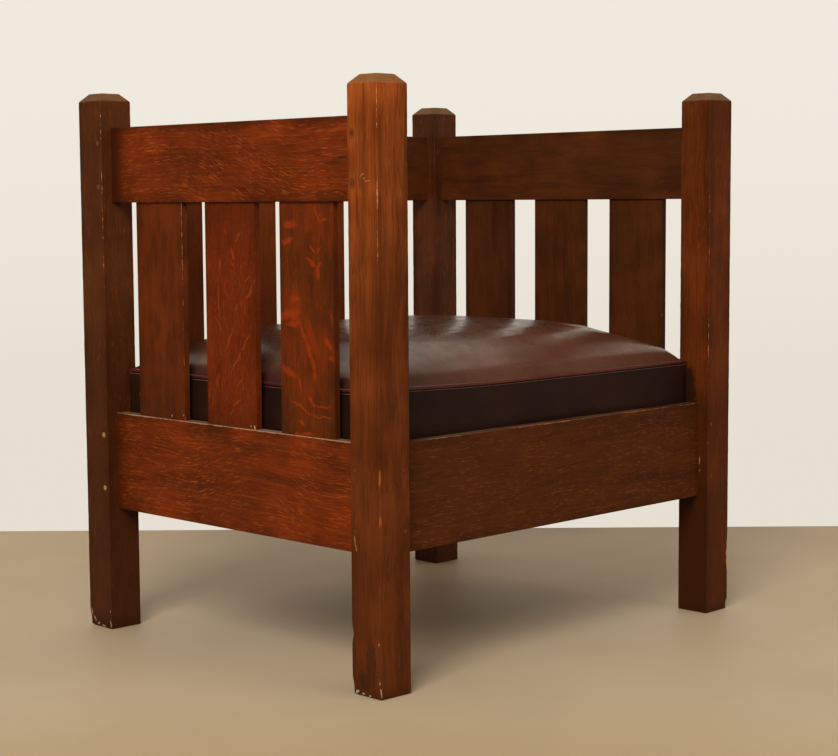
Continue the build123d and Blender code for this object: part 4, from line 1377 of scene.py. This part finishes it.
def sew_welts(top, base, finish):
    """The welt cords along the seam of the top and the seam of the base."""
    radius = finish.welt_radius
    clear = radius + WELT_CLEAR
    low = CUSHION_LOW.z + radius + TOUCH
    level = [Vector((co.x, co.y, low)) for co in widened(base, BASE_WELT_OUT)]
    paths = {
        "cushion_welt_top": [on_seam(rounded(notched(co, clear))) for co in widened(top, WELT_OUT)],
        "cushion_welt_base": [notched(co, clear) for co in level],
    }
    hide = leather("welt_leather", tuple(finish.welt), shade(70, 24, 20), finish, 0.02, 0.7)
    return [give(loop_tube(name, path, radius), hide) for name, path in paths.items()]


def sew_stitches(cushion, top, finish):
    """The two rows of stitches, above and under the welt of the top."""
    tree = Tree("thread")
    twist = tree.noise(tree.place(), 1500, 2)
    paint = tree.mix(tree.remap(twist, 0.35, 0.65), tuple(finish.thread), shade(104, 68, 60))
    thread = tree.finish(paint, tree.remap(twist, 0.3, 0.7, 0.6, 0.75), tree.bump(twist, 0.4, 0.0001))
    loop = [on_seam(notched(co, -STITCH_INTO_NOTCH)) for co in widened(top, STITCH_OUT)]
    return [give(stitch_row(name, cushion, loop, *row), thread) for name, row in STITCH_ROWS.items()]


class CUBECHAIR_OT_cushion(bpy.types.Operator):
    """Model the leather cushion, fill it by simulation, and sew its welts and stitches"""

    bl_idname = "cube_chair.cushion"
    bl_label = "Leather cushion"

    def execute(self, context):
        finish = context.scene.cube_chair_cushion
        cushion = model_cushion()
        simulate(cushion, finish.swell)
        lowest = (-CUSHION_HALF.x, -CUSHION_HALF.y, CUSHION_LOW.z)
        keep_within(cushion, lowest, (CUSHION_HALF.x, CUSHION_HALF.y, math.inf))
        top, base = seam_loops(cushion)
        modify(cushion, "SUBSURF", levels=1, render_levels=1)
        cut_corners(cushion)
        for vertex in cushion.data.vertices:
            rounded(vertex.co)
        settle(cushion, "cushion", 60)
        cover(cushion, finish)
        for piece in (cushion, *sew_welts(top, base, finish), *sew_stitches(cushion, top, finish)):
            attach(piece, "loose_cushion")
        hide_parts("cushion_cover", "cushion_core")
        return {"FINISHED"}


def area_light(name, place, size, power, tint):
    """A soft square light that looks at the middle of the chair."""
    data = bpy.data.lights.new(name, "AREA")
    light = put(name, fit(data, shape="SQUARE", size=size, energy=power, color=tint))
    light.location = place
    light.rotation_euler = (LIT_PLACE - light.location).to_track_quat("-Z", "Y").to_euler()


def plain_floor(studio):
    """A pale floor, a little yellower towards the camera."""
    quiet()
    bpy.ops.mesh.primitive_plane_add(size=14, location=(0, 0, -TOUCH))
    floor = settle(bpy.context.object, "floor")
    tree = Tree("floor")
    cloud = tree.noise(tree.place(), 3, 3, 0.5)
    pale = tuple(studio.floor)
    paint = tree.mix(tree.remap(cloud, 0.3, 0.7), pale, tuple(value * 0.93 for value in pale))
    turned = tree.node("VectorRotate", {"Vector": tree.place(), "Angle": YAW}, rotation_type="Z_AXIS")
    near = tree.remap(tree.split(turned)[1], -0.35, -1.05, 0, 0.9)
    paint = tree.mix(near, paint, shade(170, 142, 94))
    return give(floor, tree.finish(paint, tree.remap(cloud, 0.2, 0.8, 0.55, 0.6), Specular_IOR_Level=0.3))


def plain_wall(studio):
    """A pale wall, evenly bright in the picture and in reflections, that can be seen from its front only."""
    spot = Vector((math.sin(YAW), math.cos(YAW), 0)) * studio.wall_gap
    quiet()
    bpy.ops.mesh.primitive_plane_add(size=1, location=(spot.x, spot.y, 0.9), rotation=(math.pi / 2, 0, -YAW))
    bpy.context.object.scale = (3.4, 1.8, 1)
    wall = settle(bpy.context.object, "wall")
    tree = Tree("wall")
    tree.shader.inputs["Base Color"].default_value = (*studio.wall, 1)
    tree.shader.inputs["Roughness"].default_value = 0.9
    rays = tree.node("LightPath").node.outputs
    seen = tree.larger(rays["Is Camera Ray"], rays["Is Glossy Ray"])
    height = tree.remap(tree.split(tree.place())[2], 0.15, 0.85)
    glow = tree.node("Emission", {0: tree.mix(height, shade(230, 223, 210), tuple(studio.wall)), 1: 1.0})
    shown = tree.node("MixShader", {0: seen, 1: tree.shader.outputs[0], 2: glow})
    back = tree.node("NewGeometry", out="Backfacing")
    both = tree.node("MixShader", {0: back, 1: shown, 2: tree.node("BsdfTransparent")})
    tree.links.new(both, tree.nodes["Material Output"].inputs["Surface"])
    return give(wall, tree.owner)


def surround(studio):
    """An even light all round, dimmer in reflections, with the wall's colour where the camera sees past it."""
    tree = Tree("surround", world=True)
    rays = tree.node("LightPath").node.outputs
    even = tree.nodes["Background"]
    even.inputs[0].default_value = (1, 0.98, 0.95, 1)
    dim = tree.calc("MULTIPLY_ADD", rays["Is Glossy Ray"], -0.75 * studio.sky, studio.sky)
    tree.links.new(dim, even.inputs[1])
    plain = tree.node("Background", {0: (*studio.wall, 1)})
    shown = tree.node("MixShader", {0: rays["Is Camera Ray"], 1: even.outputs[0], 2: plain})
    tree.links.new(shown, tree.nodes["World Output"].inputs[0])
    return tree.owner


class CUBECHAIR_OT_studio(bpy.types.Operator):
    """Set up the plain floor, the plain wall and the soft lights"""

    bl_idname = "cube_chair.studio"
    bl_label = "Floor, wall and lights"

    def execute(self, context):
        studio = context.scene.cube_chair_studio
        floor, wall = plain_floor(studio), plain_wall(studio)
        area_light("key", (-2.6, -1.5, 2.3), 1.5, studio.key, (1, 0.97, 0.92))
        area_light("fill", (0.6, -3.2, 1.9), 2.2, studio.fill, (1, 0.98, 0.95))
        context.scene.world = surround(studio)
        context.scene.view_settings.view_transform = "Standard"
        return {"FINISHED"}


OPERATORS = (
    CUBECHAIR_OT_camera,
    CUBECHAIR_OT_studio,
    CUBECHAIR_OT_posts,
    CUBECHAIR_OT_rails,
    CUBECHAIR_OT_slats,
    CUBECHAIR_OT_pegs,
    CUBECHAIR_OT_inner_timber,
    CUBECHAIR_OT_fixings,
    CUBECHAIR_OT_webbing,
    CUBECHAIR_OT_cushion,
)


class CUBECHAIR_PT_panel(bpy.types.Panel):
    """Lists the steps that dress the chair"""

    bl_idname = "CUBECHAIR_PT_panel"
    bl_label = "Cube chair"
    bl_space_type = "VIEW_3D"
    bl_region_type = "UI"
    bl_category = "Cube chair"

    def draw(self, context):
        for kind in OPERATORS:
            self.layout.operator(kind.bl_idname)


GROUPS = {
    "cube_chair_oak": OakFinish,
    "cube_chair_cushion": CushionFinish,
    "cube_chair_studio": StudioLight,
}


def register():
    """Makes the operators, the panel and the settings known to Blender."""
    for kind in (*GROUPS.values(), *OPERATORS, CUBECHAIR_PT_panel):
        bpy.utils.register_class(kind)
    for name, kind in GROUPS.items():
        setattr(bpy.types.Scene, name, bpy.props.PointerProperty(type=kind))


def unregister():
    """Takes the operators, the panel and the settings away again."""
    for name in GROUPS:
        delattr(bpy.types.Scene, name)
    for kind in (CUBECHAIR_PT_panel, *reversed(OPERATORS), *GROUPS.values()):
        bpy.utils.unregister_class(kind)


def main():
    """Dresses the frame, one operator after another."""
    register()
    for kind in OPERATORS:
        area, name = kind.bl_idname.split(".")
        getattr(getattr(bpy.ops, area), name)()


if __name__ == "__main__":
    main()
